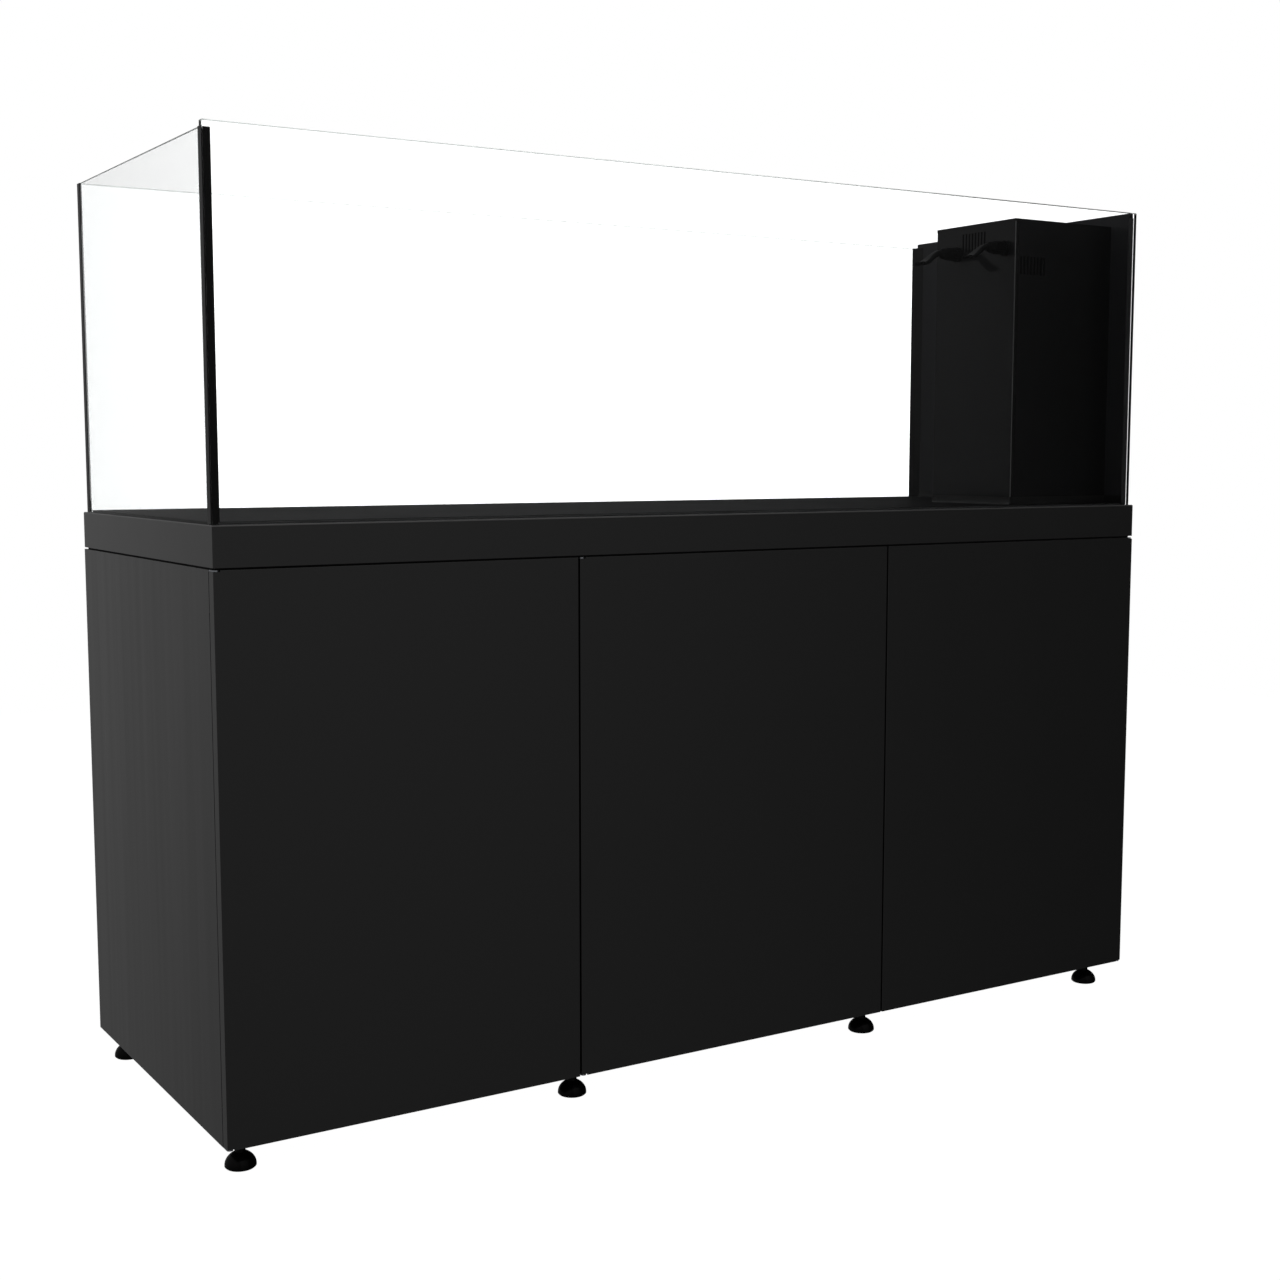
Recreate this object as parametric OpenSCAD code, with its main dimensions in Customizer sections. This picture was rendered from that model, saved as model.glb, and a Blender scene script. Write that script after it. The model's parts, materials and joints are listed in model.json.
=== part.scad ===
// Reef aquarium on a three-door cabinet, with an overflow box, return nozzles and a sump below.
// Millimetres. X runs along the tank, the doors face -Y, and Z = 0 is the floor.

/* [Overall] */
// Length of the cabinet and of the rim
length = 1800; // [1600:10:2400]
// Depth from the door faces to the back
depth = 655; // [600:5:800]

/* [Levelling feet] */
// Height of the cabinet's underside above the floor
foot_h = 40; // [36:1:60]
// How far a foot can be wound out from where it stands
foot_travel = 10; // [5:1:11]
// Length of a foot's screw that stays in the board when it is wound out
foot_grip = 6; // [5:1:6]
// Diameter of a foot's pad
foot_pad_d = 46; // [36:1:48]
// Height of the upright rim of a pad
foot_pad_rim = 4; // [3:0.5:6]
// Height of a pad's dome above its rim
foot_dome_h = 19; // [10:1:22]
// How hollow the flank of a pad's dome is
foot_dome_bend = 1.5; // [1:0.1:2]
// Diameter of a pad's collar
foot_collar_d = 15; // [14:1:20]
// Height of a pad's collar
foot_collar_h = 5; // [3:1:8]
// Diameter of a foot's screw
foot_stem_d = 10; // [8:1:12]
// Radial gap between a foot's screw and its socket
foot_fit = 0.1; // [0.05:0.05:0.15]
// Wall of a foot's socket
socket_wall = 3; // [2:0.5:4]
// Width of a socket's flange beyond its sleeve
socket_flange = 4; // [2:0.5:5]
// Thickness of a socket's flange
socket_flange_t = 1.5; // [1:0.5:3]
// Left feet's centre from the left end
foot_left = 31; // [31:1:60]
// Right feet's centre from the right end
foot_right = 61; // [31:1:90]
// Second feet's centre to the right of the first door gap
foot_mid_left = 4; // [0:1:30]
// Third feet's centre to the left of the second door gap
foot_mid_right = 16; // [0:1:30]
// Front feet's centre from the door faces
foot_front = 36.5; // [34:0.5:60]
// Back feet's centre from the back
foot_back = 59.5; // [34:0.5:90]

/* [Cabinet] */
// Height of the cabinet's body
cabinet_h = 827.5; // [720:0.5:900]
// Thickness of the body's boards
board_t = 18; // [18:1:25]
// Thickness of the back board
back_t = 8; // [6:1:12]
// Depth of a centre post
post_depth = 50; // [40:1:80]
// Width of each opening in the back board
service_w = 220; // [120:5:300]
// Height of each opening in the back board
service_h = 140; // [80:5:200]
// Height of those openings above the cabinet's floor board
service_z = 480; // [300:10:520]
// Diameter of the pipe hole in the partition
partition_hole_d = 60; // [40:1:80]

/* [Doors] */
// Thickness of a door
door_t = 19; // [19:0.5:25]
// Gap between a door's back and the body
door_back_gap = 1.5; // [1.5:0.1:3]
// Gap between neighbouring doors
door_gap = 3; // [3:0.1:4]
// First door gap's centre from the left end
left_bay = 581; // [500:1:700]
// Second door gap's centre from the right end
right_bay = 602; // [500:1:700]
// Small radius on a door's edges
door_edge_r = 0.8; // [0.4:0.1:1]

/* [Door hinges] */
// Diameter of a hinge pin
pin_d = 4; // [3:0.5:4]
// Radial running gap around a hinge pin
pin_fit = 0.05; // [0.03:0.01:0.08]
// Pin centre from a door's face and from its hinge edge
pin_inset = 5; // [4.8:0.1:5.2]
// Thickness of a body leaf
leaf_t = 2; // [1.5:0.5:3]
// Width of a body leaf
leaf_w = 9.4; // [8.6:0.2:9.6]
// Clearance between a body leaf and the door around it
leaf_fit = 0.3; // [0.3:0.05:0.5]
// Height of a body leaf's wing
wing_h = 60; // [50:1:90]
// Side clearance of a leaf in its recess
recess_fit = 0.2; // [0.1:0.05:0.3]
// Thickness of a door leaf
door_leaf_t = 2.5; // [2:0.5:4]
// Length of a door leaf
door_leaf_l = 46; // [42:1:70]
// Door left in front of and behind a door leaf
door_leaf_wall = 1.5; // [1:0.1:2]
// Diameter of the hinge screws
screw_d = 4; // [3:0.5:4]
// Length of a hinge screw under its head
screw_l = 16; // [12:1:20]
// Diameter of a hinge screw's head
screw_head_d = 7.6; // [7:0.1:8]
// Height of a hinge screw's countersunk head
screw_head_h = 1.8; // [1.2:0.1:2]
// Gap between a hinge screw and its hole
screw_fit = 0.05; // [0.03:0.01:0.1]

/* [Push latches] */
// Latch centre from a door's free edge
latch_inset = 24.5; // [22:0.5:40]
// Width of a latch housing
latch_w = 20; // [18:1:24]
// Height of a latch housing
latch_h = 16; // [16:1:20]
// Length of a latch housing
latch_l = 60; // [50:1:90]
// Diameter of a latch's plunger
plunger_d = 8; // [6:0.5:9]
// Length of a latch's plunger
plunger_l = 42; // [35:1:46]
// Diameter of the magnet head on a plunger
magnet_d = 12; // [10:0.5:14]
// Thickness of the magnet head
magnet_t = 4; // [3:0.5:5]
// How far a plunger can be pressed in
plunger_travel = 3; // [2:0.5:5]
// Clearance around and ahead of a plunger
plunger_fit = 0.3; // [0.2:0.05:0.4]
// Diameter of a door's strike plate
strike_d = 26; // [20:1:30]
// Thickness of a door's strike plate
strike_t = 1.5; // [1:0.1:2]

/* [Rim] */
// Gap between the cabinet and the rim
shadow_gap = 3; // [2:0.5:6]
// Height of the rim
rim_h = 59; // [56:1:80]
// Thickness of the rim's folded sheet
rim_t = 2; // [1.5:0.1:2]
// Height of the rim above the deck
rim_lip = 15; // [15:0.5:20]
// Thickness of the deck
deck_t = 18; // [18:1:30]
// Thickness of the levelling mat
mat_t = 3; // [2:0.5:6]
// How far the core rails stand back from the cabinet's ends and back
core_end = 5; // [4:0.5:20]
// How far the core's lip over the doors stands back from the front
core_front = 6; // [4:0.5:12]
// Gap between the doors' tops and that lip
lip_gap = 1.5; // [1:0.1:2]
// How far the core rails stand back from the front, behind the doors
core_inset = 20; // [20:1:40]
// Width of a core rail
core_w = 40; // [30:1:60]

/* [Tank] */
// Thickness of the tank's wall panes
glass_t = 12; // [10:1:15]
// Thickness of the floor pane
floor_t = 15; // [12:1:19]
// Height of the front pane and of the end panel
pane_h = 557; // [450:1:650]
// How much lower the back pane and the left pane are
pane_step = 8.5; // [0:0.5:20]
// Tank's end from the rim's end
tank_end_inset = 2.5; // [2.5:0.5:20]
// Tank's front from the rim's front
tank_front_inset = 9; // [5:0.5:20]
// Tank's back from the rim's back
tank_back_inset = 20; // [5:0.5:30]
// Thickness of a silicone joint between two wall panes
joint_t = 2; // [1:0.5:3]
// Thickness of the silicone over a pane's end
joint_skin = 1; // [0.5:0.1:1.5]
// Leg of the silicone fillet in a corner
fillet_leg = 2.5; // [2:0.5:6]
// Gap around the floor pane
floor_gap = 1; // [0.5:0.1:2]
// Leg of the silicone fillet around the floor
floor_fillet = 6; // [4:0.5:10]
// Gap between the rim's top and the glass
rim_clear = 0.5; // [0.3:0.1:1]

/* [Overflow box] */
// Length of the overflow box from the end panel
weir_l = 245.5; // [200:0.5:300]
// Width of the overflow box
weir_w = 213.5; // [213.5:0.5:260]
// Overflow box's front from the front pane
weir_front_gap = 45.5; // [30:0.5:80]
// Top of the overflow box below the front pane's top
weir_drop = 20.5; // [15:0.5:60]
// Thickness of the overflow box's walls
weir_t = 8; // [6:0.5:10]
// Thickness of the overflow box's cover
cover_t = 5; // [4:0.5:8]
// Gap between the cover and the end panel
cover_fit = 0.3; // [0.2:0.1:1]
// Diameter of the finger hole in the cover
finger_d = 22; // [18:1:30]
// Number of slots in a comb
slot_n = 8; // [4:1:9]
// Width of a slot
slot_w = 4; // [3:0.5:5]
// Distance between slot centres
slot_pitch = 8.3; // [7:0.1:8.4]
// Height of a slot
slot_h = 33; // [20:1:45]
// Face comb's first slot from the box's front
comb_y = 79.5; // [76:0.5:90]
// Face comb's top below the box's top
comb_drop = 16; // [12:0.5:30]
// Front comb's first slot from the box's inner corner
side_comb_x = 5; // [3:0.5:100]
// Front comb's top below the box's top
side_comb_drop = 67; // [40:1:120]
// Height of the silicone seam at the box's foot
seam_h = 14; // [8:1:20]
// Thickness of the silicone seam at the box's foot
seam_t = 3; // [2:0.5:5]

/* [Return nozzles] */
// Nozzle axes below the box's top
nozzle_drop = 52; // [45:1:80]
// Front nozzle from the box's front
nozzle_front = 26; // [24:0.5:40]
// Distance between the two nozzles
nozzle_pitch = 128; // [126:1:150]
// Diameter of a nozzle's flange
nozzle_flange_d = 28; // [24:1:28]
// Thickness of a nozzle's flange
nozzle_flange_t = 6.5; // [3:0.5:8]
// Outer diameter of a nozzle's threaded tail
tail_d = 18; // [16:1:20]
// Bore of a nozzle
nozzle_bore = 10; // [8:0.5:11]
// Outer diameter of the tube inside the collar
nozzle_neck_d = 15; // [14:0.5:16]
// Outer diameter of a collar
collar_d = 24; // [23:0.5:32]
// Length of a collar's grip
collar_l = 24.5; // [12:0.5:28]
// Outer diameter of the cup that holds a nozzle's ball
cup_d = 21; // [20.5:0.5:22]
// Number of ribs around a collar
collar_ribs = 18; // [12:1:24]
// Diameter of a nozzle's ball
ball_d = 17; // [16:0.5:17.5]
// Clearance around the ball and in the collar
ball_fit = 0.3; // [0.2:0.05:0.4]
// Length of a spout from the ball's centre
spout_l = 54; // [48:1:110]
// Width of a spout's mouth
mouth_w = 28; // [24:1:50]
// Height of a spout's mouth
mouth_h = 7; // [6.5:0.5:14]
// How far a spout's mouth drops
mouth_drop = 22; // [0:1:25]
// Wall of a spout
spout_wall = 2; // [1.5:0.1:2.5]

/* [Pipes] */
// Outer diameter of the drain pipes
drain_d = 32; // [25:1:40]
// Outer diameter of the return pipe
return_d = 25; // [20:1:30]
// Wall of the pipes
pipe_wall = 2.5; // [2:0.1:3.5]
// Clearance of a pipe in a fitting
pipe_fit = 0.1; // [0.05:0.05:0.2]
// Wall of a bulkhead's sleeve
bulkhead_wall = 4; // [3:0.5:6]
// Width of a bulkhead's flange beyond its sleeve
bulkhead_flange = 9; // [6:0.5:10]
// Thickness of a bulkhead's flange
bulkhead_flange_t = 8; // [6:0.5:12]
// Height of a bulkhead's nut
bulkhead_nut_h = 12; // [8:1:14]
// Clearance of a bulkhead in the floor
bulkhead_fit = 0.5; // [0.3:0.1:1]
// Drain pipes from the end panel
drain_x = 115; // [90:1:150]
// Distance between the two drain pipes
drain_pitch = 100; // [80:1:130]
// Return pipe from the box's inner face
return_x = 32; // [30:1:40]
// Top of the main drain below the box's top
drain_drop = 124; // [90:1:200]
// Top of the emergency drain below the box's top
emergency_drop = 64; // [40:1:80]
// Lower end of the drains above the cabinet's floor board
drain_end = 330; // [300:5:340]
// Height of the return pipe's level run above the cabinet's floor board
return_run = 500; // [440:5:560]
// Outer diameter of the elbows and tees
elbow_d = 31; // [31:1:38]
// Length of an elbow's sleeve
elbow_l = 34; // [24:1:45]

/* [Drain valve] */
// Height of the valve's centre above the cabinet's floor board
valve_z = 590; // [540:5:640]
// Outer diameter of the valve
valve_d = 52; // [46:1:60]
// Length of the valve
valve_l = 90; // [80:1:110]
// Diameter of the valve's ball
valve_ball_d = 30; // [24:1:34]
// Diameter of the valve's stem
valve_stem_d = 8; // [6:1:10]
// Length of the stem's guard beyond the valve's side
valve_neck = 14; // [8:1:20]
// Clearance of the valve's ball and stem
valve_fit = 0.3; // [0.2:0.05:0.4]
// Length of the lever
lever_l = 75; // [50:1:95]
// Thickness of the lever
lever_t = 7; // [5:1:9]
// Width of the lever
lever_w = 16; // [12:1:20]

/* [Sump] */
// Length of the sump
sump_l = 550; // [480:5:550]
// Width of the sump
sump_w = 390; // [340:5:440]
// Height of the sump
sump_h = 360; // [300:5:400]
// Sump's right end from the side board
sump_side_gap = 17; // [5:1:30]
// Sump's front from the cabinet body's front
sump_front_gap = 57; // [55:1:80]
// Thickness of the sump's glass
sump_t = 6; // [5:1:8]
// Length of the drain chamber
drain_chamber = 165; // [150:1:190]
// Length of the return chamber
return_chamber = 180; // [150:1:200]
// Distance between the two bubble baffles
baffle_gap = 30; // [20:1:50]
// Height of the chamber baffles
baffle_h = 280; // [200:5:290]
// Height of the gap under the raised baffle
baffle_lift = 40; // [30:1:60]
// Thickness of the tray that carries the filter basket
tray_t = 5; // [4:1:8]
// Length of the filter basket
basket_l = 120; // [100:1:140]
// Width of the filter basket
basket_w = 160; // [150:1:164]
// Depth of the filter basket
basket_h = 200; // [160:1:220]
// Wall of the filter basket
basket_t = 3; // [2:0.5:4]
// Width of the filter basket's rim
basket_rim = 10; // [8:1:12]
// How far the basket's hole in the tray is wider than the basket, all round
basket_fit = 1; // [0.5:0.1:2]
// Length of the return pump
pump_l = 120; // [90:1:140]
// Width of the return pump
pump_w = 80; // [60:1:100]
// Height of the return pump
pump_h = 90; // [70:1:120]
// Length of the pump's spigot under the return pipe
spigot_h = 22; // [12:1:40]
// Diameter of the pump's intake
intake_d = 44; // [30:1:56]

/* [Hidden] */

black_board = "#1c1c1c";
black_gloss = "#121214";
clear_glass = [0.85, 0.92, 0.92, 0.3];
steel = "#8f9396";
hole_over = 1; // how far a cut runs past the face it opens

x0 = -length / 2;
x1 = length / 2;
y0 = -depth / 2;
y1 = depth / 2;
body_y = y0 + door_t + door_back_gap;
inner_x0 = x0 + board_t;
inner_x1 = x1 - board_t;
inner_y1 = y1 - back_t;

cab_z = foot_h;
floor_z = cab_z + board_t;
cab_top = cab_z + cabinet_h;
roof_z = cab_top - board_t;
rim_z = cab_top + shadow_gap;
rim_top = rim_z + rim_h;
deck_top = rim_top - rim_lip;
deck_z = deck_top - deck_t;
tank_z = deck_top + mat_t;
tank_floor = tank_z + floor_t;
front_top = tank_z + pane_h;
back_top = front_top - pane_step;

gap_1 = x0 + left_bay;
gap_2 = x1 - right_bay;

// Doors as [left edge, right edge, x of the pin, direction from the pin to the free edge]
left_door = [x0, gap_1 - door_gap / 2, x0 + pin_inset, 1];
middle_door = [gap_1 + door_gap / 2, gap_2 - door_gap / 2, gap_1 + door_gap / 2 + pin_inset, 1];
right_door = [gap_2 + door_gap / 2, x1, x1 - pin_inset, -1];
doors = [left_door, middle_door, right_door];
pin_y = y0 + pin_inset;
pin_to_body = body_y - pin_y;
notch_h = leaf_t + leaf_fit;
recess_h = notch_h + door_leaf_t;
partition_x1 = middle_door[2] + leaf_w / 2 + 4 * recess_fit;
partition_x0 = partition_x1 - board_t;
post_x = [gap_2 - board_t / 2, gap_2 + board_t / 2];
wing_screws = [wing_h / 3, wing_h - 12];
door_leaf_y = [y0 + door_leaf_wall + recess_fit, y0 + door_t - door_leaf_wall - recess_fit];
door_screw_y = (door_leaf_y[0] + door_leaf_y[1]) / 2;
door_screws = [door_leaf_l - 24, door_leaf_l - 8];

latch_x = [left_door[1] - latch_inset, middle_door[1] - latch_inset, right_door[0] + latch_inset];
latch_z = roof_z - latch_h / 2;
plunger_y = y0 + door_t + plunger_fit;
latch_y = plunger_y + magnet_t + plunger_travel + plunger_fit;

foot_x = [x0 + foot_left, gap_1 + foot_mid_left, gap_2 - foot_mid_right, x1 - foot_right];
foot_y = [y0 + foot_front, y1 - foot_back];
socket_d = foot_stem_d + 2 * (foot_fit + socket_wall);
stem_top = cab_z + foot_travel + foot_grip;

tank_x0 = x0 + tank_end_inset;
tank_x1 = x1 - tank_end_inset;
tank_y0 = y0 + tank_front_inset;
tank_y1 = y1 - tank_back_inset;
in_x0 = tank_x0 + glass_t;
in_x1 = tank_x1 - glass_t;
in_y0 = tank_y0 + glass_t;
in_y1 = tank_y1 - glass_t;
end_y = [in_y0 + joint_t, in_y1 - joint_t];

box_x0 = in_x1 - weir_l;
box_y0 = in_y0 + weir_front_gap;
box_y1 = box_y0 + weir_w;
box_top = front_top - weir_drop;
wall_top = box_top - cover_t;

nozzle_z = box_top - nozzle_drop;
nozzle_y = [box_y0 + nozzle_front, box_y0 + nozzle_front + nozzle_pitch];
ball_x = box_x0 - nozzle_flange_t - collar_l - ball_d / 2;
cup_mouth = ball_d / 5;

return_px = box_x0 + weir_t + return_x;
return_py = (nozzle_y[0] + nozzle_y[1]) / 2;
drain_px = in_x1 - drain_x;
drain_py = [(box_y0 + box_y1) / 2 - drain_pitch / 2, (box_y0 + box_y1) / 2 + drain_pitch / 2];
drain_tops = [box_top - emergency_drop, box_top - drain_drop];
drain_low = floor_z + drain_end;
valve_cz = floor_z + valve_z;
valve_cy = drain_py[1];
valve_seat = valve_ball_d / 2 + 4;
return_bend_z = floor_z + return_run;
bulkhead_at = [[return_px, return_py, return_d], [drain_px, drain_py[0], drain_d],
    [drain_px, drain_py[1], drain_d]];

sump_x1 = inner_x1 - sump_side_gap;
sump_x0 = sump_x1 - sump_l;
sump_y0 = body_y + sump_front_gap;
sump_y1 = sump_y0 + sump_w;
sump_top = floor_z + sump_h;
sump_floor = floor_z + sump_t;
drain_baffle = sump_x1 - sump_t - drain_chamber;
return_baffle = sump_x0 + sump_t + return_chamber;
tray_top = sump_top + tray_t;
basket_cy = (drain_py[0] + drain_py[1]) / 2;
pump_cx = sump_x0 + sump_t + return_chamber / 2;
pump_top = sump_floor + pump_h;

// A box between two corners, given as [low, high] on each axis
module block(x, y, z) {
    translate([x[0], y[0], z[0]]) cube([x[1] - x[0], y[1] - y[0], z[1] - z[0]]);
}

// A round bar along Z
module rod(d, h, at = [0, 0, 0]) {
    translate(at) cylinder(d = d, h = h, $fn = 48);
}

// A round bar along +X
module rod_x(d, l, at) {
    translate(at) rotate([0, 90, 0]) cylinder(d = d, h = l, $fn = 48);
}

// A round bar along +Y
module rod_y(d, l, at) {
    translate(at) rotate([-90, 0, 0]) cylinder(d = d, h = l, $fn = 48);
}

// A countersunk screw whose head's face is at the origin and whose point runs along +Z
module screw(grow = 0) {
    cylinder(d1 = screw_head_d + 2 * grow, d2 = screw_d + 2 * grow, h = screw_head_h, $fn = 48);
    cylinder(d = screw_d + 2 * grow, h = screw_l + grow, $fn = 48);
}

// Places its child at both ends of a hinge line, upright at the bottom and mirrored at the top
module both_ends() {
    translate([0, 0, cab_z]) children();
    translate([0, 0, cab_top]) mirror([0, 0, 1]) children();
}

// ---- hinges ----

// The two screws of a leaf's wing, driven back into the body
module wing_screw_pair(grow = 0) {
    for (z = wing_screws)
        translate([0, pin_to_body, z]) rotate([-90, 0, 0]) screw(grow);
}

// One body leaf with its pin: the nose reaches forward from the wing, around the pin at the origin
module body_leaf() {
    difference() {
        union() {
            linear_extrude(leaf_t) {
                circle(d = leaf_w, $fn = 48);
                translate([-leaf_w / 2, 0]) square([leaf_w, pin_to_body + leaf_t]);
            }
            block([-leaf_w / 2, leaf_w / 2], [pin_to_body, pin_to_body + leaf_t], [0, wing_h]);
            cylinder(d = pin_d, h = recess_h - leaf_fit, $fn = 48);
        }
        wing_screw_pair(screw_fit);
    }
}

module hinge_leaves() {
    color(steel) for (d = doors) translate([d[2], pin_y, 0]) both_ends() body_leaf();
}

module hinge_screws() {
    color(steel) for (d = doors) translate([d[2], pin_y, 0]) both_ends() wing_screw_pair();
}

// The recess and the screw holes that every board behind a leaf has
module leaf_recess() {
    w = leaf_w / 2 + recess_fit;
    block([-w, w], [pin_to_body - hole_over, pin_to_body + leaf_t],
        [-hole_over, wing_h + recess_fit]);
    wing_screw_pair(screw_fit);
}

// Cuts the recesses of a door's hinge line out of a board
module leaf_recesses(d) {
    translate([d[2], pin_y, 0]) both_ends() leaf_recess();
}

// ---- cabinet ----

module side_panel_left() {
    color("#3c3c3c") difference() {
        block([x0, inner_x0], [body_y, y1], [cab_z, cab_top]);
        leaf_recesses(left_door);
    }
}

module side_panel_right() {
    color("#3c3c3c") difference() {
        block([inner_x1, x1], [body_y, y1], [cab_z, cab_top]);
        leaf_recesses(right_door);
    }
}

module bottom_panel() {
    color(black_board) difference() {
        block([inner_x0, inner_x1], [body_y, inner_y1], [cab_z, floor_z]);
        leaf_recesses(middle_door);
        for (x = foot_x, y = foot_y)
            rod(socket_d, board_t + 2 * hole_over, [x, y, cab_z - hole_over]);
    }
}

module top_panel() {
    color(black_board) difference() {
        block([inner_x0, inner_x1], [body_y, inner_y1], [roof_z, cab_top]);
        leaf_recesses(middle_door);
        for (b = bulkhead_at)
            rod(b[2] + 2 * bulkhead_wall, board_t + 2 * hole_over, [b[0], b[1], roof_z - hole_over]);
    }
}

module partition() {
    color(black_board) difference() {
        block([partition_x0, partition_x1], [body_y, inner_y1], [floor_z, roof_z]);
        leaf_recesses(middle_door);
        rod_x(partition_hole_d, board_t + 2 * hole_over,
            [partition_x0 - hole_over, inner_y1 - partition_hole_d, roof_z - partition_hole_d]);
    }
}

module centre_posts() {
    color(black_board) for (y = [body_y, inner_y1 - post_depth])
        block(post_x, [y, y + post_depth], [floor_z, roof_z]);
}

module back_panel() {
    color(black_board) difference() {
        block([inner_x0, inner_x1], [inner_y1, y1], [cab_z, cab_top]);
        for (x = [(inner_x0 + gap_1) / 2, (gap_2 + inner_x1) / 2])
            block([x - service_w / 2, x + service_w / 2], [inner_y1 - hole_over, y1 + hole_over],
                [floor_z + service_z, floor_z + service_z + service_h]);
    }
}

// ---- doors ----

// A door with small rounded upright edges, notched for the body leaves and recessed for its own
module door(d) {
    hinge_edge = d[2] - d[3] * pin_inset;
    outside = hinge_edge - d[3] * hole_over;
    notch_end = d[2] + d[3] * (leaf_w / 2 + leaf_fit);
    recess_end = hinge_edge + d[3] * door_leaf_l;
    difference() {
        translate([d[0], y0, cab_z]) linear_extrude(cabinet_h)
            translate([door_edge_r, door_edge_r]) offset_square(d[1] - d[0], door_t);
        both_ends() {
            block([min(outside, notch_end), max(outside, notch_end)],
                [y0 - hole_over, y0 + door_t + hole_over], [-hole_over, notch_h]);
            block([min(hinge_edge + d[3], recess_end), max(hinge_edge + d[3], recess_end)],
                [y0 + door_leaf_wall, y0 + door_t - door_leaf_wall], [-hole_over, recess_h]);
            for (s = door_screws)
                translate([hinge_edge + d[3] * s, door_screw_y, notch_h]) screw(screw_fit);
        }
        rod_y(strike_d, strike_t + hole_over, [strike_x(d), y0 + door_t - strike_t, latch_z]);
    }
}

// The plan of a door, with rounded corners, built from discs and bars so that its arcs stay true
module offset_square(w, h) {
    r = door_edge_r;
    translate([0, -r]) square([w - 2 * r, h]);
    translate([-r, 0]) square([w, h - 2 * r]);
    for (x = [0, w - 2 * r], y = [0, h - 2 * r]) translate([x, y]) circle(r = r, $fn = 24);
}

function strike_x(d) = d[3] > 0 ? d[1] - latch_inset : d[0] + latch_inset;

// The two door leaves, their screws and the strike plate of a door
module door_fittings(d) {
    hinge_edge = d[2] - d[3] * pin_inset;
    near = hinge_edge + d[3] * (1 + recess_fit);
    end = hinge_edge + d[3] * (door_leaf_l - recess_fit);
    both_ends() {
        difference() {
            block([min(near, end), max(near, end)], door_leaf_y, [notch_h, recess_h]);
            rod(pin_d + 2 * pin_fit, recess_h + hole_over, [d[2], pin_y, 0]);
            for (s = door_screws)
                translate([hinge_edge + d[3] * s, door_screw_y, notch_h]) screw(screw_fit);
        }
        for (s = door_screws)
            translate([hinge_edge + d[3] * s, door_screw_y, notch_h]) screw();
    }
    rod_y(strike_d, strike_t, [strike_x(d), y0 + door_t - strike_t, latch_z]);
}

module door_left() {
    color(black_board) door(left_door);
}

module door_middle() {
    color(black_board) door(middle_door);
}

module door_right() {
    color(black_board) door(right_door);
}

module door_left_fittings() {
    color(steel) door_fittings(left_door);
}

module door_middle_fittings() {
    color(steel) door_fittings(middle_door);
}

module door_right_fittings() {
    color(steel) door_fittings(right_door);
}

module latch_housings() {
    color("#2a2a2c") for (x = latch_x) difference() {
        block([x - latch_w / 2, x + latch_w / 2], [latch_y, latch_y + latch_l],
            [latch_z - latch_h / 2, roof_z]);
        rod_y(plunger_d + 2 * plunger_fit, plunger_l + plunger_travel + plunger_fit + hole_over,
            [x, latch_y - hole_over, latch_z]);
    }
}

// One plunger with its magnet head
module plunger(x) {
    rod_y(magnet_d, magnet_t, [x, plunger_y, latch_z]);
    rod_y(plunger_d, plunger_l, [x, plunger_y + magnet_t, latch_z]);
}

module plunger_left() {
    color("#d8d8d8") plunger(latch_x[0]);
}

module plunger_middle() {
    color("#d8d8d8") plunger(latch_x[1]);
}

module plunger_right() {
    color("#d8d8d8") plunger(latch_x[2]);
}

// ---- feet ----

module foot_sockets() {
    color("#2a2a2c") for (x = foot_x, y = foot_y) difference() {
        union() {
            rod(socket_d, board_t, [x, y, cab_z]);
            rod(socket_d + 2 * socket_flange, socket_flange_t, [x, y, cab_z - socket_flange_t]);
        }
        rod(foot_stem_d + 2 * foot_fit, board_t + socket_flange_t + 2 * hole_over,
            [x, y, cab_z - socket_flange_t - hole_over]);
    }
}

// One foot: a domed pad, its collar and its screw
module foot(x, y) {
    r = foot_pad_d / 2;
    steps = 8;
    dome = [for (i = [0 : steps]) let (a = 90 * i / steps)
        [foot_collar_d / 2 + (r - foot_collar_d / 2) * pow(max(cos(a), 0), foot_dome_bend),
            foot_pad_rim + foot_dome_h * sin(a)]];
    collar_top = foot_pad_rim + foot_dome_h + foot_collar_h;
    translate([x, y, 0]) {
        rotate_extrude($fn = 72) polygon(concat([[0, 0], [r - 1, 0], [r, 1]], dome,
            [[foot_collar_d / 2, collar_top], [0, collar_top]]));
        cylinder(d = foot_stem_d, h = stem_top, $fn = 48);
    }
}

module foot_front_1() {
    color(black_gloss) foot(foot_x[0], foot_y[0]);
}

module foot_front_2() {
    color(black_gloss) foot(foot_x[1], foot_y[0]);
}

module foot_front_3() {
    color(black_gloss) foot(foot_x[2], foot_y[0]);
}

module foot_front_4() {
    color(black_gloss) foot(foot_x[3], foot_y[0]);
}

module foot_back_1() {
    color(black_gloss) foot(foot_x[0], foot_y[1]);
}

module foot_back_2() {
    color(black_gloss) foot(foot_x[1], foot_y[1]);
}

module foot_back_3() {
    color(black_gloss) foot(foot_x[2], foot_y[1]);
}

module foot_back_4() {
    color(black_gloss) foot(foot_x[3], foot_y[1]);
}

// ---- rim ----

module rim_front() {
    color(black_board) {
        block([x0, x1], [y0, y0 + rim_t], [rim_z, rim_top]);
        block([x0, x1], [y0, tank_y0 - rim_clear], [rim_top - rim_t, rim_top]);
    }
}

module rim_back() {
    color(black_board) {
        block([x0, x1], [y1 - rim_t, y1], [rim_z, rim_top]);
        block([x0, x1], [tank_y1 + rim_clear, y1], [rim_top - rim_t, rim_top]);
    }
}

module rim_left() {
    color("#3c3c3c") rim_end(x0, tank_x0 - rim_clear);
}

module rim_right() {
    color("#3c3c3c") rim_end(tank_x1 + rim_clear, x1);
}

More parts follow.
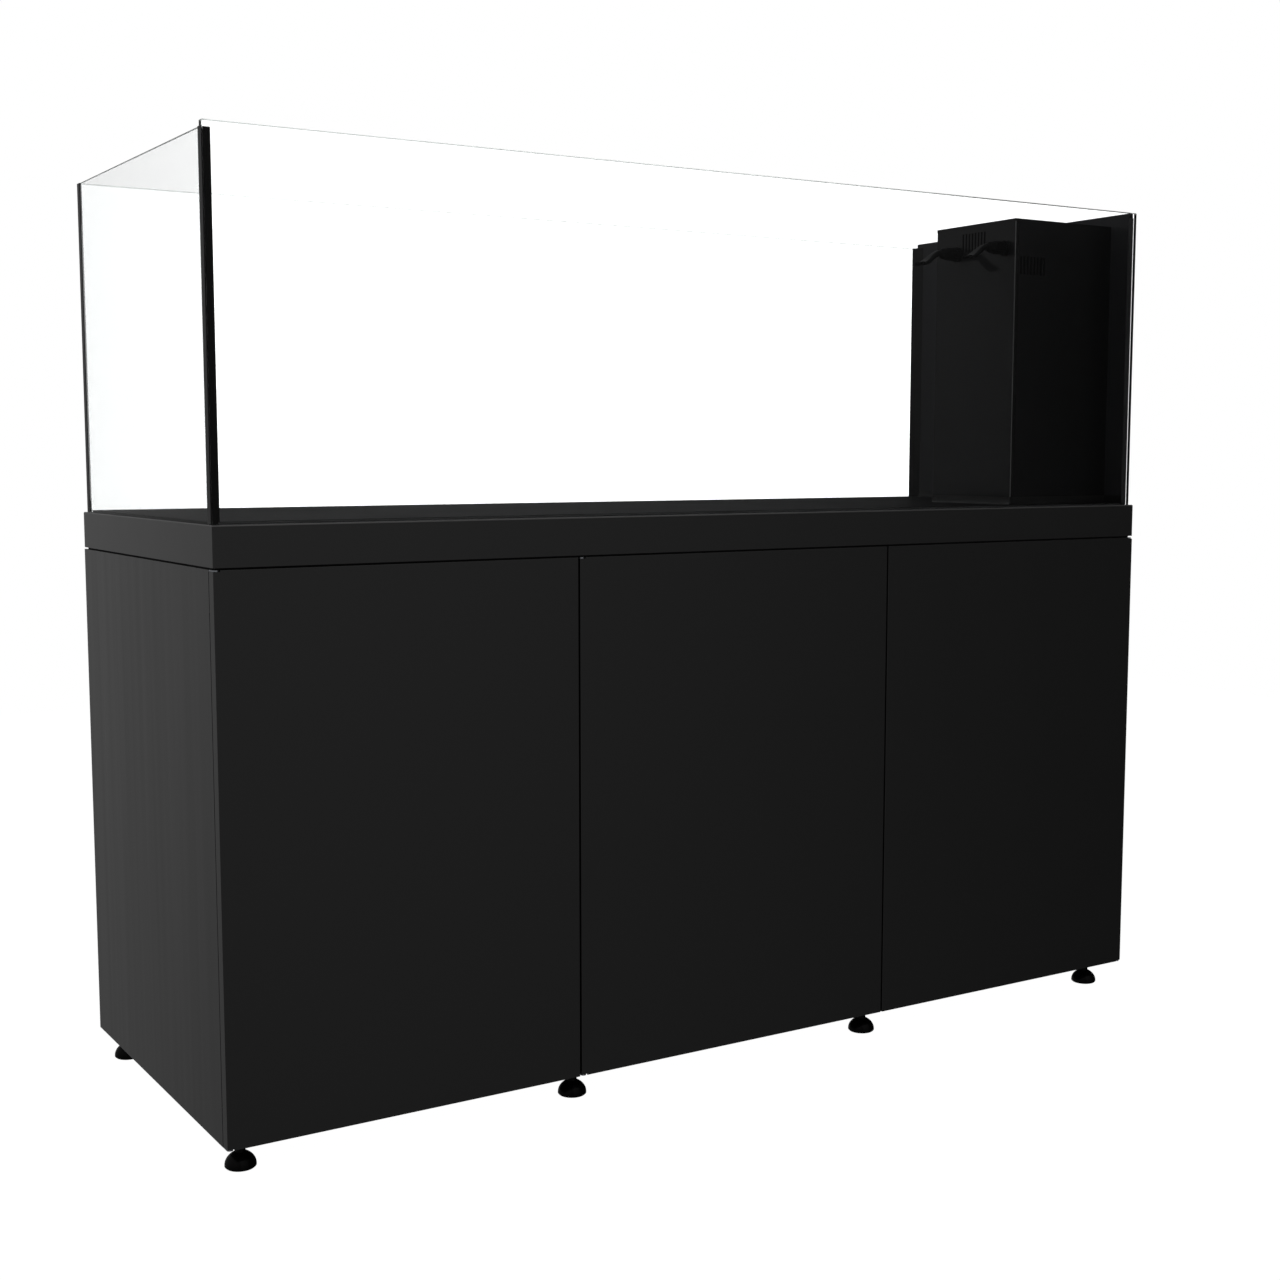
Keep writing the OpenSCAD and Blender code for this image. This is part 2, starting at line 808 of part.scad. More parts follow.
// An end of the rim, between the front's and the back's folded sheets
module rim_end(low_x, high_x) {
    left = low_x < 0;
    block(left ? [low_x, low_x + rim_t] : [high_x - rim_t, high_x], [y0 + rim_t, y1 - rim_t],
        [rim_z, rim_top - rim_t]);
    block([low_x, high_x], [tank_y0 - rim_clear, tank_y1 + rim_clear], [rim_top - rim_t, rim_top]);
}

module rim_core() {
    long_x = [x0 + core_end, x1 - core_end];
    rail_y = [y0 + core_inset, y1 - core_end];
    cross = [rail_y[0] + core_w, rail_y[1] - core_w];
    middles = [(partition_x0 + partition_x1) / 2, gap_2];
    color("#5a4a3a") {
        block(long_x, [rail_y[0], cross[0]], [cab_top, deck_z]);
        block(long_x, [y0 + core_front, rail_y[0]], [cab_top + lip_gap, deck_z]);
        block(long_x, [cross[1], rail_y[1]], [cab_top, deck_z]);
        block([long_x[0], long_x[0] + core_w], cross, [cab_top, deck_z]);
        block([long_x[1] - core_w, long_x[1]], cross, [cab_top, deck_z]);
        for (x = middles) block([x - core_w / 2, x + core_w / 2], cross, [cab_top, deck_z]);
    }
}

// The bulkheads' holes through whatever lies between two heights
module bulkhead_holes(low, high) {
    for (b = bulkhead_at)
        rod(b[2] + 2 * (pipe_fit + bulkhead_wall + bulkhead_fit), high - low + 2 * hole_over,
            [b[0], b[1], low - hole_over]);
}

module deck() {
    color("#5a4a3a") difference() {
        block([x0 + rim_t, x1 - rim_t], [y0 + rim_t, y1 - rim_t], [deck_z, deck_top]);
        bulkhead_holes(deck_z, deck_top);
    }
}

module levelling_mat() {
    color("#303030") difference() {
        block([tank_x0, tank_x1], [tank_y0, tank_y1], [deck_top, tank_z]);
        bulkhead_holes(deck_top, tank_z);
    }
}

// ---- tank ----

module front_glass() {
    color(clear_glass) block([tank_x0, tank_x1], [tank_y0, in_y0], [tank_z, front_top]);
}

module back_glass() {
    color(clear_glass) block([tank_x0, tank_x1], [in_y1, tank_y1], [tank_z, back_top]);
}

module left_glass() {
    color(clear_glass) block([tank_x0, in_x0], end_y, [tank_z, back_top]);
}

module end_panel() {
    color(black_gloss) block([in_x1, tank_x1], end_y, [tank_z, front_top]);
}

module floor_pane() {
    color(black_gloss) difference() {
        block([in_x0 + floor_gap, in_x1 - floor_gap], [in_y0 + floor_gap, in_y1 - floor_gap],
            [tank_z, tank_floor]);
        bulkhead_holes(tank_z, tank_floor);
    }
}

// The silicone of one corner, for the front left corner, with the long pane's end at x = 0: the joint
// between the two panes, the skin over the long pane's end, and the fillet inside, above the floor
module corner_bead() {
    foot = rim_top + rim_clear;
    block([0, glass_t], [0, joint_t], [foot, back_top]);
    block([-joint_skin, 0], [-glass_t, joint_t], [foot, back_top]);
    translate([0, 0, tank_floor]) linear_extrude(back_top - tank_floor)
        polygon([[glass_t, 0], [glass_t + fillet_leg, 0], [glass_t, fillet_leg + joint_t]]);
}

module corner_silicone() {
    color("#141414") for (sx = [0, 1], sy = [0, 1])
        translate([sx == 0 ? tank_x0 : tank_x1, sy == 0 ? in_y0 : in_y1, 0])
            mirror([sx, 0, 0]) mirror([0, sy, 0]) corner_bead();
}

// A triangular bead along +X, in the angle between the floor and a wall on its -Y side
module bead(l, leg) {
    rotate([90, 0, 90]) linear_extrude(l) polygon([[0, 0], [leg, 0], [0, leg]]);
}

module floor_silicone() {
    start = in_x0 + fillet_leg;
    long = in_x1 - fillet_leg - start;
    first = end_y[0] + fillet_leg;
    side = end_y[1] - fillet_leg - first;
    color("#141414") {
        translate([start, in_y0, tank_floor]) bead(long, floor_fillet);
        translate([start, in_y1, tank_floor]) mirror([0, 1, 0]) bead(long, floor_fillet);
        translate([in_x0, first + side, tank_floor]) rotate([0, 0, -90]) bead(side, floor_fillet);
        block([box_x0 - seam_t, box_x0], [box_y0 - seam_t, box_y1 + seam_t],
            [tank_floor, tank_floor + seam_h]);
        block([box_x0, in_x1], [box_y0 - seam_t, box_y0], [tank_floor, tank_floor + seam_h]);
        block([box_x0, in_x1], [box_y1, box_y1 + seam_t], [tank_floor, tank_floor + seam_h]);
        for (y = [[first, box_y0], [box_y1, first + side]])
            block([in_x1 - seam_t, in_x1], y, [tank_floor, tank_floor + seam_h]);
    }
}

// ---- overflow box ----

// The slots of a comb, side by side along +X, cut through a wall that lies along it
module comb() {
    for (i = [0 : slot_n - 1])
        translate([i * slot_pitch, -weir_t - hole_over, -slot_h])
            cube([slot_w, 2 * (weir_t + hole_over), slot_h]);
}

module weir_face() {
    color(black_gloss) difference() {
        block([box_x0, box_x0 + weir_t], [box_y0, box_y1], [tank_floor, wall_top]);
        translate([box_x0 + weir_t / 2, box_y0 + comb_y, box_top - comb_drop])
            rotate([0, 0, 90]) comb();
        for (y = nozzle_y)
            rod_x(tail_d, weir_t + 2 * hole_over, [box_x0 - hole_over, y, nozzle_z]);
    }
}

module weir_front() {
    color(black_gloss) difference() {
        block([box_x0 + weir_t, in_x1], [box_y0, box_y0 + weir_t], [tank_floor, wall_top]);
        translate([box_x0 + weir_t + side_comb_x, box_y0 + weir_t / 2, box_top - side_comb_drop])
            comb();
    }
}

module weir_back() {
    color(black_gloss)
        block([box_x0 + weir_t, in_x1], [box_y1 - weir_t, box_y1], [tank_floor, wall_top]);
}

module weir_cover() {
    color(black_gloss) difference() {
        block([box_x0, in_x1 - cover_fit], [box_y0, box_y1], [wall_top, box_top]);
        rod(finger_d, cover_t + 2 * hole_over,
            [in_x1 - weir_l / 2, (box_y0 + box_y1) / 2, wall_top - hole_over]);
    }
}

// ---- nozzles ----

// The fixed part of a nozzle: flange, tail through the wall, nut inside and the tube under the collar
module nozzle_base(y) {
    neck_x = box_x0 - nozzle_flange_t - collar_l + ball_fit;
    tail_l = weir_t + return_x - elbow_d / 2;
    difference() {
        union() {
            rod_x(nozzle_flange_d, nozzle_flange_t, [box_x0 - nozzle_flange_t, y, nozzle_z]);
            rod_x(tail_d, tail_l, [box_x0, y, nozzle_z]);
            translate([box_x0 + weir_t, y, nozzle_z]) rotate([0, 90, 0])
                cylinder(d = nozzle_flange_d, h = nozzle_flange_t, $fn = 6);
            rod_x(nozzle_neck_d, box_x0 - neck_x, [neck_x, y, nozzle_z]);
        }
        rod_x(nozzle_bore, box_x0 - neck_x + tail_l + 2 * hole_over, [neck_x - hole_over, y, nozzle_z]);
    }
}

module nozzle_bases() {
    color("#18181a") for (y = nozzle_y) nozzle_base(y);
}

// The ribbed collar that swivels on the base and holds the ball
module nozzle_collar(y) {
    rib = 1;
    grip_x1 = box_x0 - nozzle_flange_t - ball_fit;
    grip_x0 = ball_x + ball_d / 2;
    translate([0, y, nozzle_z]) difference() {
        union() {
            rod_x(cup_d, grip_x1 - ball_x + cup_mouth, [ball_x - cup_mouth, 0, 0]);
            rod_x(collar_d - 2 * rib, grip_x1 - grip_x0, [grip_x0, 0, 0]);
            for (a = [0 : collar_ribs - 1]) rotate([a * 360 / collar_ribs, 0, 0])
                block([grip_x0 + rib, grip_x1 - rib], [-rib, rib], [collar_d / 2 - 2 * rib, collar_d / 2]);
        }
        rod_x(nozzle_neck_d + 2 * ball_fit, grip_x1 - ball_x + hole_over, [ball_x, 0, 0]);
        translate([ball_x, 0, 0]) rotate([0, 90, 0]) sphere(d = ball_d + 2 * ball_fit, $fn = 48);
    }
}

module nozzle_collar_front() {
    color("#18181a") nozzle_collar(nozzle_y[0]);
}

module nozzle_collar_back() {
    color("#18181a") nozzle_collar(nozzle_y[1]);
}

// One cross-section of a spout, at a distance from the ball, as a thin rounded slab
module spout_section(out, drop, w, h) {
    translate([-out, 0, -drop]) rotate([90, 0, 90]) linear_extrude(0.4) {
        square([w - h, h], center = true);
        for (s = [-1, 1]) translate([s * (w - h) / 2, 0]) circle(d = h, $fn = 24);
    }
}

// The flattened duct of a spout, thinned all round by a wall
module spout_duct(wall) {
    root_d = nozzle_neck_d - 2;
    stations = [[ball_d * 0.75, mouth_drop * 0.1, root_d, root_d - 0.1],
        [spout_l * 0.45, mouth_drop * 0.43, mouth_w * 0.66, mouth_h * 1.5],
        [spout_l * 0.7, mouth_drop * 0.8, mouth_w * 0.85, mouth_h * 1.15],
        [spout_l, mouth_drop, mouth_w, mouth_h]];
    past = [-1, 0, 0, 1];
    for (i = [0 : 2]) hull() for (k = [i, i + 1]) let (s = stations[k])
        spout_section(s[0] + (wall > 0 ? past[k] : 0), s[1], s[2] - 2 * wall, s[3] - 2 * wall);
}

// The ball and the duckbill spout that tilt in the collar
module nozzle_spout(y) {
    translate([ball_x, y, nozzle_z]) difference() {
        union() {
            rotate([0, 90, 0]) sphere(d = ball_d, $fn = 48);
            rod_x(nozzle_neck_d - 3, ball_d * 0.75, [-ball_d * 0.75, 0, 0]);
            spout_duct(0);
        }
        spout_duct(spout_wall);
        rod_x(nozzle_bore - 1, ball_d * 1.5, [-ball_d * 0.8, 0, 0]);
    }
}

module nozzle_spout_front() {
    color("#18181a") nozzle_spout(nozzle_y[0]);
}

module nozzle_spout_back() {
    color("#18181a") nozzle_spout(nozzle_y[1]);
}

// ---- pipes ----

module drain_pipes() {
    color("#4a4c50") {
        pipe_piece(drain_px, drain_py[0], drain_low, drain_tops[0]);
        pipe_piece(drain_px, drain_py[1], drain_low, valve_cz - valve_seat);
        pipe_piece(drain_px, drain_py[1], valve_cz + valve_seat, drain_tops[1]);
    }
}

// One upright length of drain pipe
module pipe_piece(x, y, low, high) {
    difference() {
        rod(drain_d, high - low, [x, y, low]);
        rod(drain_d - 2 * pipe_wall, high - low + 2 * hole_over, [x, y, low - hole_over]);
    }
}

// The return pipe's run at a given diameter, extended at its open ends
module return_run_solid(d, extra) {
    low = pump_top + spigot_h;
    rod(d, return_bend_z - low + extra, [pump_cx, return_py, low - extra]);
    rod_x(d, return_px - pump_cx, [pump_cx, return_py, return_bend_z]);
    rod(d, nozzle_z - return_bend_z, [return_px, return_py, return_bend_z]);
    rod_y(d, nozzle_pitch, [return_px, nozzle_y[0], nozzle_z]);
    for (p = [[pump_cx, return_py, return_bend_z], [return_px, return_py, return_bend_z],
        [return_px, nozzle_y[0], nozzle_z], [return_px, nozzle_y[1], nozzle_z]])
        translate(p) sphere(d = d, $fn = 48);
    for (y = nozzle_y)
        rod_x(d, elbow_d / 2 + extra, [return_px - elbow_d / 2 - extra, y, nozzle_z]);
}

module return_pipe() {
    bends = [[pump_cx, 1, -1], [return_px, -1, 1]];
    color("#4a4c50") difference() {
        union() {
            return_run_solid(return_d, 0);
            for (b = bends) {
                translate([b[0], return_py, return_bend_z]) sphere(d = elbow_d, $fn = 48);
                rod_x(elbow_d, elbow_l, [min(b[0], b[0] + b[1] * elbow_l), return_py, return_bend_z]);
                rod(elbow_d, elbow_l, [b[0], return_py, min(0, b[2] * elbow_l) + return_bend_z]);
            }
            rod_y(elbow_d, 2 * elbow_l, [return_px, return_py - elbow_l, nozzle_z]);
            rod(elbow_d, elbow_l, [return_px, return_py, nozzle_z - elbow_l]);
        }
        return_run_solid(return_d - 2 * pipe_wall, hole_over);
    }
}

// One bulkhead around a pipe: flange on the tank's floor, sleeve through the deck, nut below it
module bulkhead(x, y, d) {
    sleeve = d + 2 * (pipe_fit + bulkhead_wall);
    low = deck_z - bulkhead_nut_h - 4;
    difference() {
        union() {
            rod(sleeve, tank_floor - low, [x, y, low]);
            rod(sleeve + 2 * bulkhead_flange, bulkhead_flange_t, [x, y, tank_floor]);
            translate([x, y, deck_z - bulkhead_nut_h])
                cylinder(d = sleeve + 2 * bulkhead_flange, h = bulkhead_nut_h, $fn = 8);
        }
        rod(d + 2 * pipe_fit, tank_floor + bulkhead_flange_t - low + 2 * hole_over,
            [x, y, low - hole_over]);
    }
}

module bulkheads() {
    color("#2a2a2c") for (b = bulkhead_at) bulkhead(b[0], b[1], b[2]);
}

module valve_body() {
    guard_l = valve_d / 2 + valve_neck;
    seat = valve_ball_d / 2 + valve_fit;
    color("#6a6c70") translate([drain_px, valve_cy, valve_cz]) difference() {
        union() {
            rod(valve_d, valve_l, [0, 0, -valve_l / 2]);
            rod_y(valve_stem_d + 12, guard_l, [0, -guard_l, 0]);
        }
        for (s = [0, 1]) mirror([0, 0, s])
            rod(drain_d + 2 * pipe_fit, valve_l, [0, 0, valve_seat]);
        rod(drain_d - 2 * pipe_wall, 2 * valve_seat + 2 * hole_over, [0, 0, -valve_seat - hole_over]);
        sphere(r = seat, $fn = 64);
        rod_y(valve_stem_d + 2 * valve_fit, guard_l + hole_over, [0, -guard_l - hole_over, 0]);
    }
}

// The lever with its stem and the ball that it turns; it points up when the valve is open
module valve_lever() {
    stem_l = valve_d / 2 + valve_neck + valve_fit + lever_t;
    color("#a02020") translate([drain_px, valve_cy, valve_cz]) {
        difference() {
            sphere(d = valve_ball_d, $fn = 64);
            rod(drain_d - 4 * pipe_wall, 2 * valve_ball_d, [0, 0, -valve_ball_d]);
        }
        difference() {
            rod_y(valve_stem_d, stem_l - valve_ball_d / 2 + 2, [0, -stem_l, 0]);
            rod(drain_d - 4 * pipe_wall, 2 * valve_ball_d, [0, 0, -valve_ball_d]);
        }
        rod_y(valve_stem_d + 10, lever_t, [0, -stem_l, 0]);
        block([-lever_w / 2, lever_w / 2], [-stem_l, -stem_l + lever_t], [0, lever_l]);
    }
}

// ---- sump ----

// One upright pane of glass across the sump, at x, between two heights
module baffle(x, low, high) {
    block([x, x + sump_t], [sump_y0 + sump_t, sump_y1 - sump_t], [low, high]);
}

module sump_tank() {
    color([0.7, 0.85, 0.85, 0.4]) {
        block([sump_x0, sump_x1], [sump_y0, sump_y1], [floor_z, sump_floor]);
        block([sump_x0, sump_x1], [sump_y0, sump_y0 + sump_t], [sump_floor, sump_top]);
        block([sump_x0, sump_x1], [sump_y1 - sump_t, sump_y1], [sump_floor, sump_top]);
        baffle(sump_x0, sump_floor, sump_top);
        baffle(sump_x1 - sump_t, sump_floor, sump_top);
        baffle(drain_baffle - sump_t, sump_floor, sump_floor + baffle_h);
        baffle(return_baffle, sump_floor, sump_floor + baffle_h);
        baffle(return_baffle + sump_t + baffle_gap, sump_floor + baffle_lift,
            sump_floor + baffle_h + baffle_lift);
    }
}

// The basket's outline in plan, grown all round
module basket_plan(grow) {
    square([basket_l + 2 * grow, basket_w + 2 * grow], center = true);
}

module filter_tray() {
    color("#1a1a1c") difference() {
        block([drain_baffle, sump_x1], [sump_y0, sump_y1], [sump_top, tray_top]);
        translate([drain_px, basket_cy, sump_top - hole_over])
            linear_extrude(tray_t + 2 * hole_over) basket_plan(basket_fit);
    }
}

module filter_basket() {
    color("#e8e8e4") translate([drain_px, basket_cy, 0]) {
        difference() {
            translate([0, 0, tray_top - basket_h]) linear_extrude(basket_h + basket_t)
                basket_plan(0);
            translate([0, 0, tray_top - basket_h + basket_t]) linear_extrude(basket_h + basket_t)
                basket_plan(-basket_t);
        }
        translate([0, 0, tray_top]) linear_extrude(basket_t) difference() {
            basket_plan(basket_rim);
            basket_plan(0);
        }
    }
}

module return_pump() {
    nose = (return_chamber - pump_l) / 3;
    mid_z = sump_floor + pump_h / 2;
    color("#202226") difference() {
        union() {
            block([pump_cx - pump_l / 2, pump_cx + pump_l / 2], [return_py - pump_w / 2,
                return_py + pump_w / 2], [sump_floor, sump_floor + 6]);
            rod_x(pump_w * 0.8, pump_l * 0.9, [pump_cx - pump_l * 0.45, return_py, mid_z]);
            rod_x(intake_d, nose, [pump_cx + pump_l * 0.45, return_py, mid_z]);
            for (x = [-0.3, 0.3])
                block([pump_cx + x * pump_l - 5, pump_cx + x * pump_l + 5],
                    [return_py - pump_w / 4, return_py + pump_w / 4], [sump_floor, mid_z]);
            rod(elbow_d, spigot_h + pump_top - mid_z, [pump_cx, return_py, mid_z]);
        }
        rod(return_d - 2 * pipe_wall, pump_h, [pump_cx, return_py, mid_z]);
        rod_x(intake_d - 8, nose, [pump_cx + pump_l * 0.45 + 4, return_py, mid_z]);
    }
}

side_panel_left();
side_panel_right();
bottom_panel();
top_panel();
partition();
centre_posts();
back_panel();
rim_front();
rim_back();
rim_left();
rim_right();
rim_core();
deck();
levelling_mat();
front_glass();
back_glass();
left_glass();
end_panel();
floor_pane();
corner_silicone();
floor_silicone();
weir_face();
weir_front();
weir_back();
weir_cover();
nozzle_bases();
nozzle_collar_front();
nozzle_collar_back();
nozzle_spout_front();
nozzle_spout_back();
drain_pipes();
return_pipe();
bulkheads();
valve_body();
valve_lever();
sump_tank();
filter_tray();
filter_basket();
return_pump();
hinge_leaves();
hinge_screws();
latch_housings();
plunger_left();
plunger_middle();
plunger_right();
door_left();
door_middle();
door_right();
door_left_fittings();
door_middle_fittings();
door_right_fittings();
foot_sockets();
foot_front_1();
foot_front_2();
foot_front_3();
foot_front_4();
foot_back_1();
foot_back_2();
foot_back_3();
foot_back_4();
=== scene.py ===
"""Looks of a rimless aquarium on its three-door cabinet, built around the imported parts.

Metres, +Z up, in the parts' own frame: X runs along the tank, the doors face -Y and Z = 0 is the
floor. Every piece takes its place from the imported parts' boxes and rides on its own body.
"""

import json
import logging
import math
from dataclasses import dataclass, field
from enum import Enum
from typing import Callable, Iterable, Sequence

import bmesh
import bpy
from mathutils import Matrix, Vector


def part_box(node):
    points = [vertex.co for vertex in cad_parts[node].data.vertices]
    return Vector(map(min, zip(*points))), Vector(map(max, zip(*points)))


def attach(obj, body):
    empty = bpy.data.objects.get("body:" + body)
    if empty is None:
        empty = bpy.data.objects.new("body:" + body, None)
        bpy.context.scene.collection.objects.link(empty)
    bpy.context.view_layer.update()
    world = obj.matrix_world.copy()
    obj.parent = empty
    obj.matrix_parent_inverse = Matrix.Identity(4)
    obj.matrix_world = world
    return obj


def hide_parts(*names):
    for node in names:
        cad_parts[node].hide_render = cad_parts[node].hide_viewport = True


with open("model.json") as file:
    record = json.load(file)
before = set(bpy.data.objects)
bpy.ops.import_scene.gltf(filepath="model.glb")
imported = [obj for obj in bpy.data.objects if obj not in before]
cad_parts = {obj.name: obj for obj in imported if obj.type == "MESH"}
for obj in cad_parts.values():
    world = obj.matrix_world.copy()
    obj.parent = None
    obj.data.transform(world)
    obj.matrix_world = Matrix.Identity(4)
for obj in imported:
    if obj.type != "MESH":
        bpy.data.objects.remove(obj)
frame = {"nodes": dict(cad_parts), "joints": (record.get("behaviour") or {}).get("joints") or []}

MM = 0.001
SAME = 0.02 * MM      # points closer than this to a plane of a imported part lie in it
TINY = 1e-7           # a radius or a gap below this counts as none
SEAM = 1e-6           # points of a turned profile closer than this are one point
STRAIGHT = 1e-4       # a corner that turns less than this, in radians, stays as it is
ARC_SHARE = 0.49      # the most that a corner's arc takes of either line beside it
WELD = 2e-6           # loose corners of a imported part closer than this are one
FLAT_DEG = 0.4        # faces that turn less than this are one face
SHARP_DEG = 30.0      # an edge that turns more than this is a corner of the shape
LEVEL = 0.99          # a face whose normal has more than this along an axis is square to it
TILT = 0.1            # a face whose normal has less than this along an axis runs along it
COARSE, SMALL, SIDES, FINE = 32, 48, 64, 72    # sides of turned pieces, from pipes to feet
COAT_ROUGHNESS = 0.04
TONE_DETAIL, TONE_FALLOFF, GRAIN_DETAIL = 4.0, 0.55, 3.0
ROUGHNESS_SWING = 0.08
WAVE_BANDS = 20.0     # bands that a wave texture lays in one unit at a scale of one
LOG = logging.getLogger("aquarium")

Box = tuple[Vector, Vector]
Colour = tuple[float, float, float, float]
Shape = bmesh.types.BMesh
Vert = bmesh.types.BMVert
Edge = bmesh.types.BMEdge
Tree = bpy.types.NodeTree
Socket = bpy.types.NodeSocket
Profile = Iterable[Sequence[float]]


# ---- colours and shader nodes ----


def linear(colour: str) -> Colour:
    """Turns an sRGB hex colour into the linear colour that a shader takes.

    Args:
        colour: Six hex digits after a hash, such as "#1c1c1c".

    Returns:
        Red, green, blue and an alpha of 1.
    """
    parts = [int(colour[i:i + 2], 16) / 255 for i in (1, 3, 5)]
    # The sRGB standard's curve: straight near black, and a power above.
    lit = [c / 12.92 if c <= 0.04045 else ((c + 0.055) / 1.055) ** 2.4 for c in parts]
    return (lit[0], lit[1], lit[2], 1.0)


def shade(colour: Colour, factor: float) -> Colour:
    """Makes a linear colour lighter or darker by a factor."""
    return (colour[0] * factor, colour[1] * factor, colour[2] * factor, 1.0)


def grey(level: float) -> Colour:
    """Returns an opaque linear grey."""
    return shade((1.0,) * 4, level)


def feed(tree: Tree, node: bpy.types.Node, into: dict) -> None:
    """Fills a node's inputs.

    Args:
        tree: The tree that the node is in.
        node: The node.
        into: For each input, by name or number, a socket to link from or a value.
    """
    for key, source in into.items():
        if isinstance(source, Socket):
            tree.links.new(source, node.inputs[key])
        else:
            node.inputs[key].default_value = source


def add(tree: Tree, kind: str, into: dict | None = None, out: int | str = 0,
        **settings: object) -> Socket | None:
    """Adds a node, sets its properties and fills its inputs.

    Args:
        tree: The tree that the node goes in.
        kind: The node's type name.
        into: For each input, by name or number, a socket to link from or a value.
        out: The output that is wanted, by name or number.
        **settings: Properties of the node itself.

    Returns:
        That output, or None for a node without outputs.
    """
    made = tree.nodes.new(kind)
    for name, value in settings.items():
        setattr(made, name, value)
    feed(tree, made, into or {})
    return made.outputs[out] if made.outputs else None


def noise(tree: Tree, vector: Socket, size_mm: float, detail: float = 2.0,
          falloff: float = 0.5) -> Socket:
    """Adds a noise pattern with patches of a real size."""
    return add(tree, "ShaderNodeTexNoise", {"Vector": vector, "Scale": 1 / (size_mm * MM),
                                            "Detail": detail, "Roughness": falloff})


def mix(tree: Tree, factor: Socket, first: Colour, second: Colour) -> Socket:
    """Adds a mix of two colours."""
    return add(tree, "ShaderNodeMix", {"Factor": factor, 6: first, 7: second}, 2, data_type="RGBA")


def spot(tree: Tree) -> Socket:
    """Adds the object's own coordinates, in metres."""
    return add(tree, "ShaderNodeTexCoord", out="Object")


class Run(Enum):
    """The way a pattern runs over a surface, as the pattern's stretch along X, Y and Z."""

    EVEN = (1.0, 1.0, 1.0)
    UPRIGHT = (1.0, 1.0, 0.04)
    LENGTHWISE = (0.05, 1.0, 1.0)


class Shading(Enum):
    """The turn, in degrees, above which an edge of a kind of piece stays sharp."""

    FLAT = 20
    SHEET = 30
    DOMED = 35
    FORMED = 40
    SWEPT = 45
    EASED = 50


@dataclass(frozen=True)
class Finish:
    """An opaque surface: its colour, how it scatters light, and its pattern at real sizes."""

    name: str
    colour: str
    roughness: float
    specular: float = 0.5
    metallic: float = 0.0
    coat: float = 0.0
    mottle: float = 0.08
    mottle_mm: float = 90.0
    grain_mm: float = 1.2
    grain_height_mm: float = 0.01
    run: Run = Run.EVEN

    def material(self) -> bpy.types.Material:
        """Makes the finish's material at its first use.

        Returns:
            The material, which all the finish's pieces share.
        """
        made = bpy.data.materials.get(self.name)
        if made is None:
            made = bpy.data.materials.new(self.name)
            made.use_nodes = True
            made.diffuse_color = linear(self.colour)
            self.surface(made.node_tree, made.node_tree.nodes["Principled BSDF"])
        return made

    def surface(self, tree: Tree, shader: bpy.types.Node) -> None:
        """Sets the shader's numbers and lays the tone, roughness and grain patterns.

        Args:
            tree: The material's node tree.
            shader: Its Principled BSDF node.
        """
        laid = add(tree, "ShaderNodeMapping", {"Vector": spot(tree), "Scale": self.run.value})
        tone = noise(tree, laid, self.mottle_mm, TONE_DETAIL, TONE_FALLOFF)
        base = linear(self.colour)
        colour = mix(tree, tone, shade(base, 1 - self.mottle), shade(base, 1 + self.mottle))
        spread = add(tree, "ShaderNodeMapRange", {
            "Value": tone, "To Min": self.roughness * (1 - ROUGHNESS_SWING),
            "To Max": min(1.0, self.roughness * (1 + ROUGHNESS_SWING))})
        grain = noise(tree, laid, self.grain_mm, GRAIN_DETAIL)
        bump = add(tree, "ShaderNodeBump", {"Height": grain, "Strength": 1.0,
                                            "Distance": self.grain_height_mm * MM})
        feed(tree, shader, {"Metallic": self.metallic, "Specular IOR Level": self.specular,
                            "Coat Weight": self.coat, "Coat Roughness": COAT_ROUGHNESS,
                            "Base Color": colour, "Roughness": spread, "Normal": bump})


@dataclass(frozen=True)
class Streaked(Finish):
    """A sprayed board whose sanding marks still show as faint upright streaks under the lacquer."""

    streak: float = 0.09
    streak_mm: float = 22.0
    stretch: tuple[float, float, float] = (1.0, 1.0, 0.02)
    contrast: tuple[float, float] = (0.3, 0.7)

    def surface(self, tree: Tree, shader: bpy.types.Node) -> None:
        """Adds streaks to the roughness, which raking light picks out.

        Args:
            tree: The material's node tree.
            shader: Its Principled BSDF node.
        """
        super().surface(tree, shader)
        laid = add(tree, "ShaderNodeMapping", {"Vector": spot(tree), "Scale": self.stretch})
        marks = noise(tree, laid, self.streak_mm)
        spread = add(tree, "ShaderNodeMapRange", {
            "Value": marks, "From Min": self.contrast[0], "From Max": self.contrast[1],
            "To Min": self.roughness * (1 - self.streak),
            "To Max": self.roughness * (1 + self.streak)})
        feed(tree, shader, {"Roughness": spread})


@dataclass(frozen=True)
class Glazing(Finish):
    """Clear glass: it lets light through, and its faint tint shows where it is thick."""

    ior: float = 1.45

    def surface(self, tree: Tree, shader: bpy.types.Node) -> None:
        """Sets a clear, polished surface with a trace of float-line ripple.

        Args:
            tree: The material's node tree.
            shader: Its Principled BSDF node.
        """
        tone = noise(tree, spot(tree), self.mottle_mm)
        base = linear(self.colour)
        feed(tree, shader, {"IOR": self.ior, "Specular IOR Level": self.specular,
                            "Transmission Weight": 1.0, "Roughness": self.roughness,
                            "Base Color": mix(tree, tone, shade(base, 1 - self.mottle), base)})


@dataclass(frozen=True)
class Laminated(Finish):
    """Plywood or board seen with its layers: bands of two tones along Z."""

    second: str = "#8a6a44"
    layer_mm: float = 1.5
    waver: float = 0.4

    def surface(self, tree: Tree, shader: bpy.types.Node) -> None:
        """Lays bands over the plain finish.

        Args:
            tree: The material's node tree.
            shader: Its Principled BSDF node.
        """
        super().surface(tree, shader)
        bands = add(tree, "ShaderNodeTexWave", {
            "Vector": spot(tree), "Scale": 1 / (self.layer_mm * MM * WAVE_BANDS),
            "Distortion": self.waver}, 1, bands_direction="Z")
        feed(tree, shader, {"Base Color": mix(tree, bands, linear(self.colour),
                                              linear(self.second))})


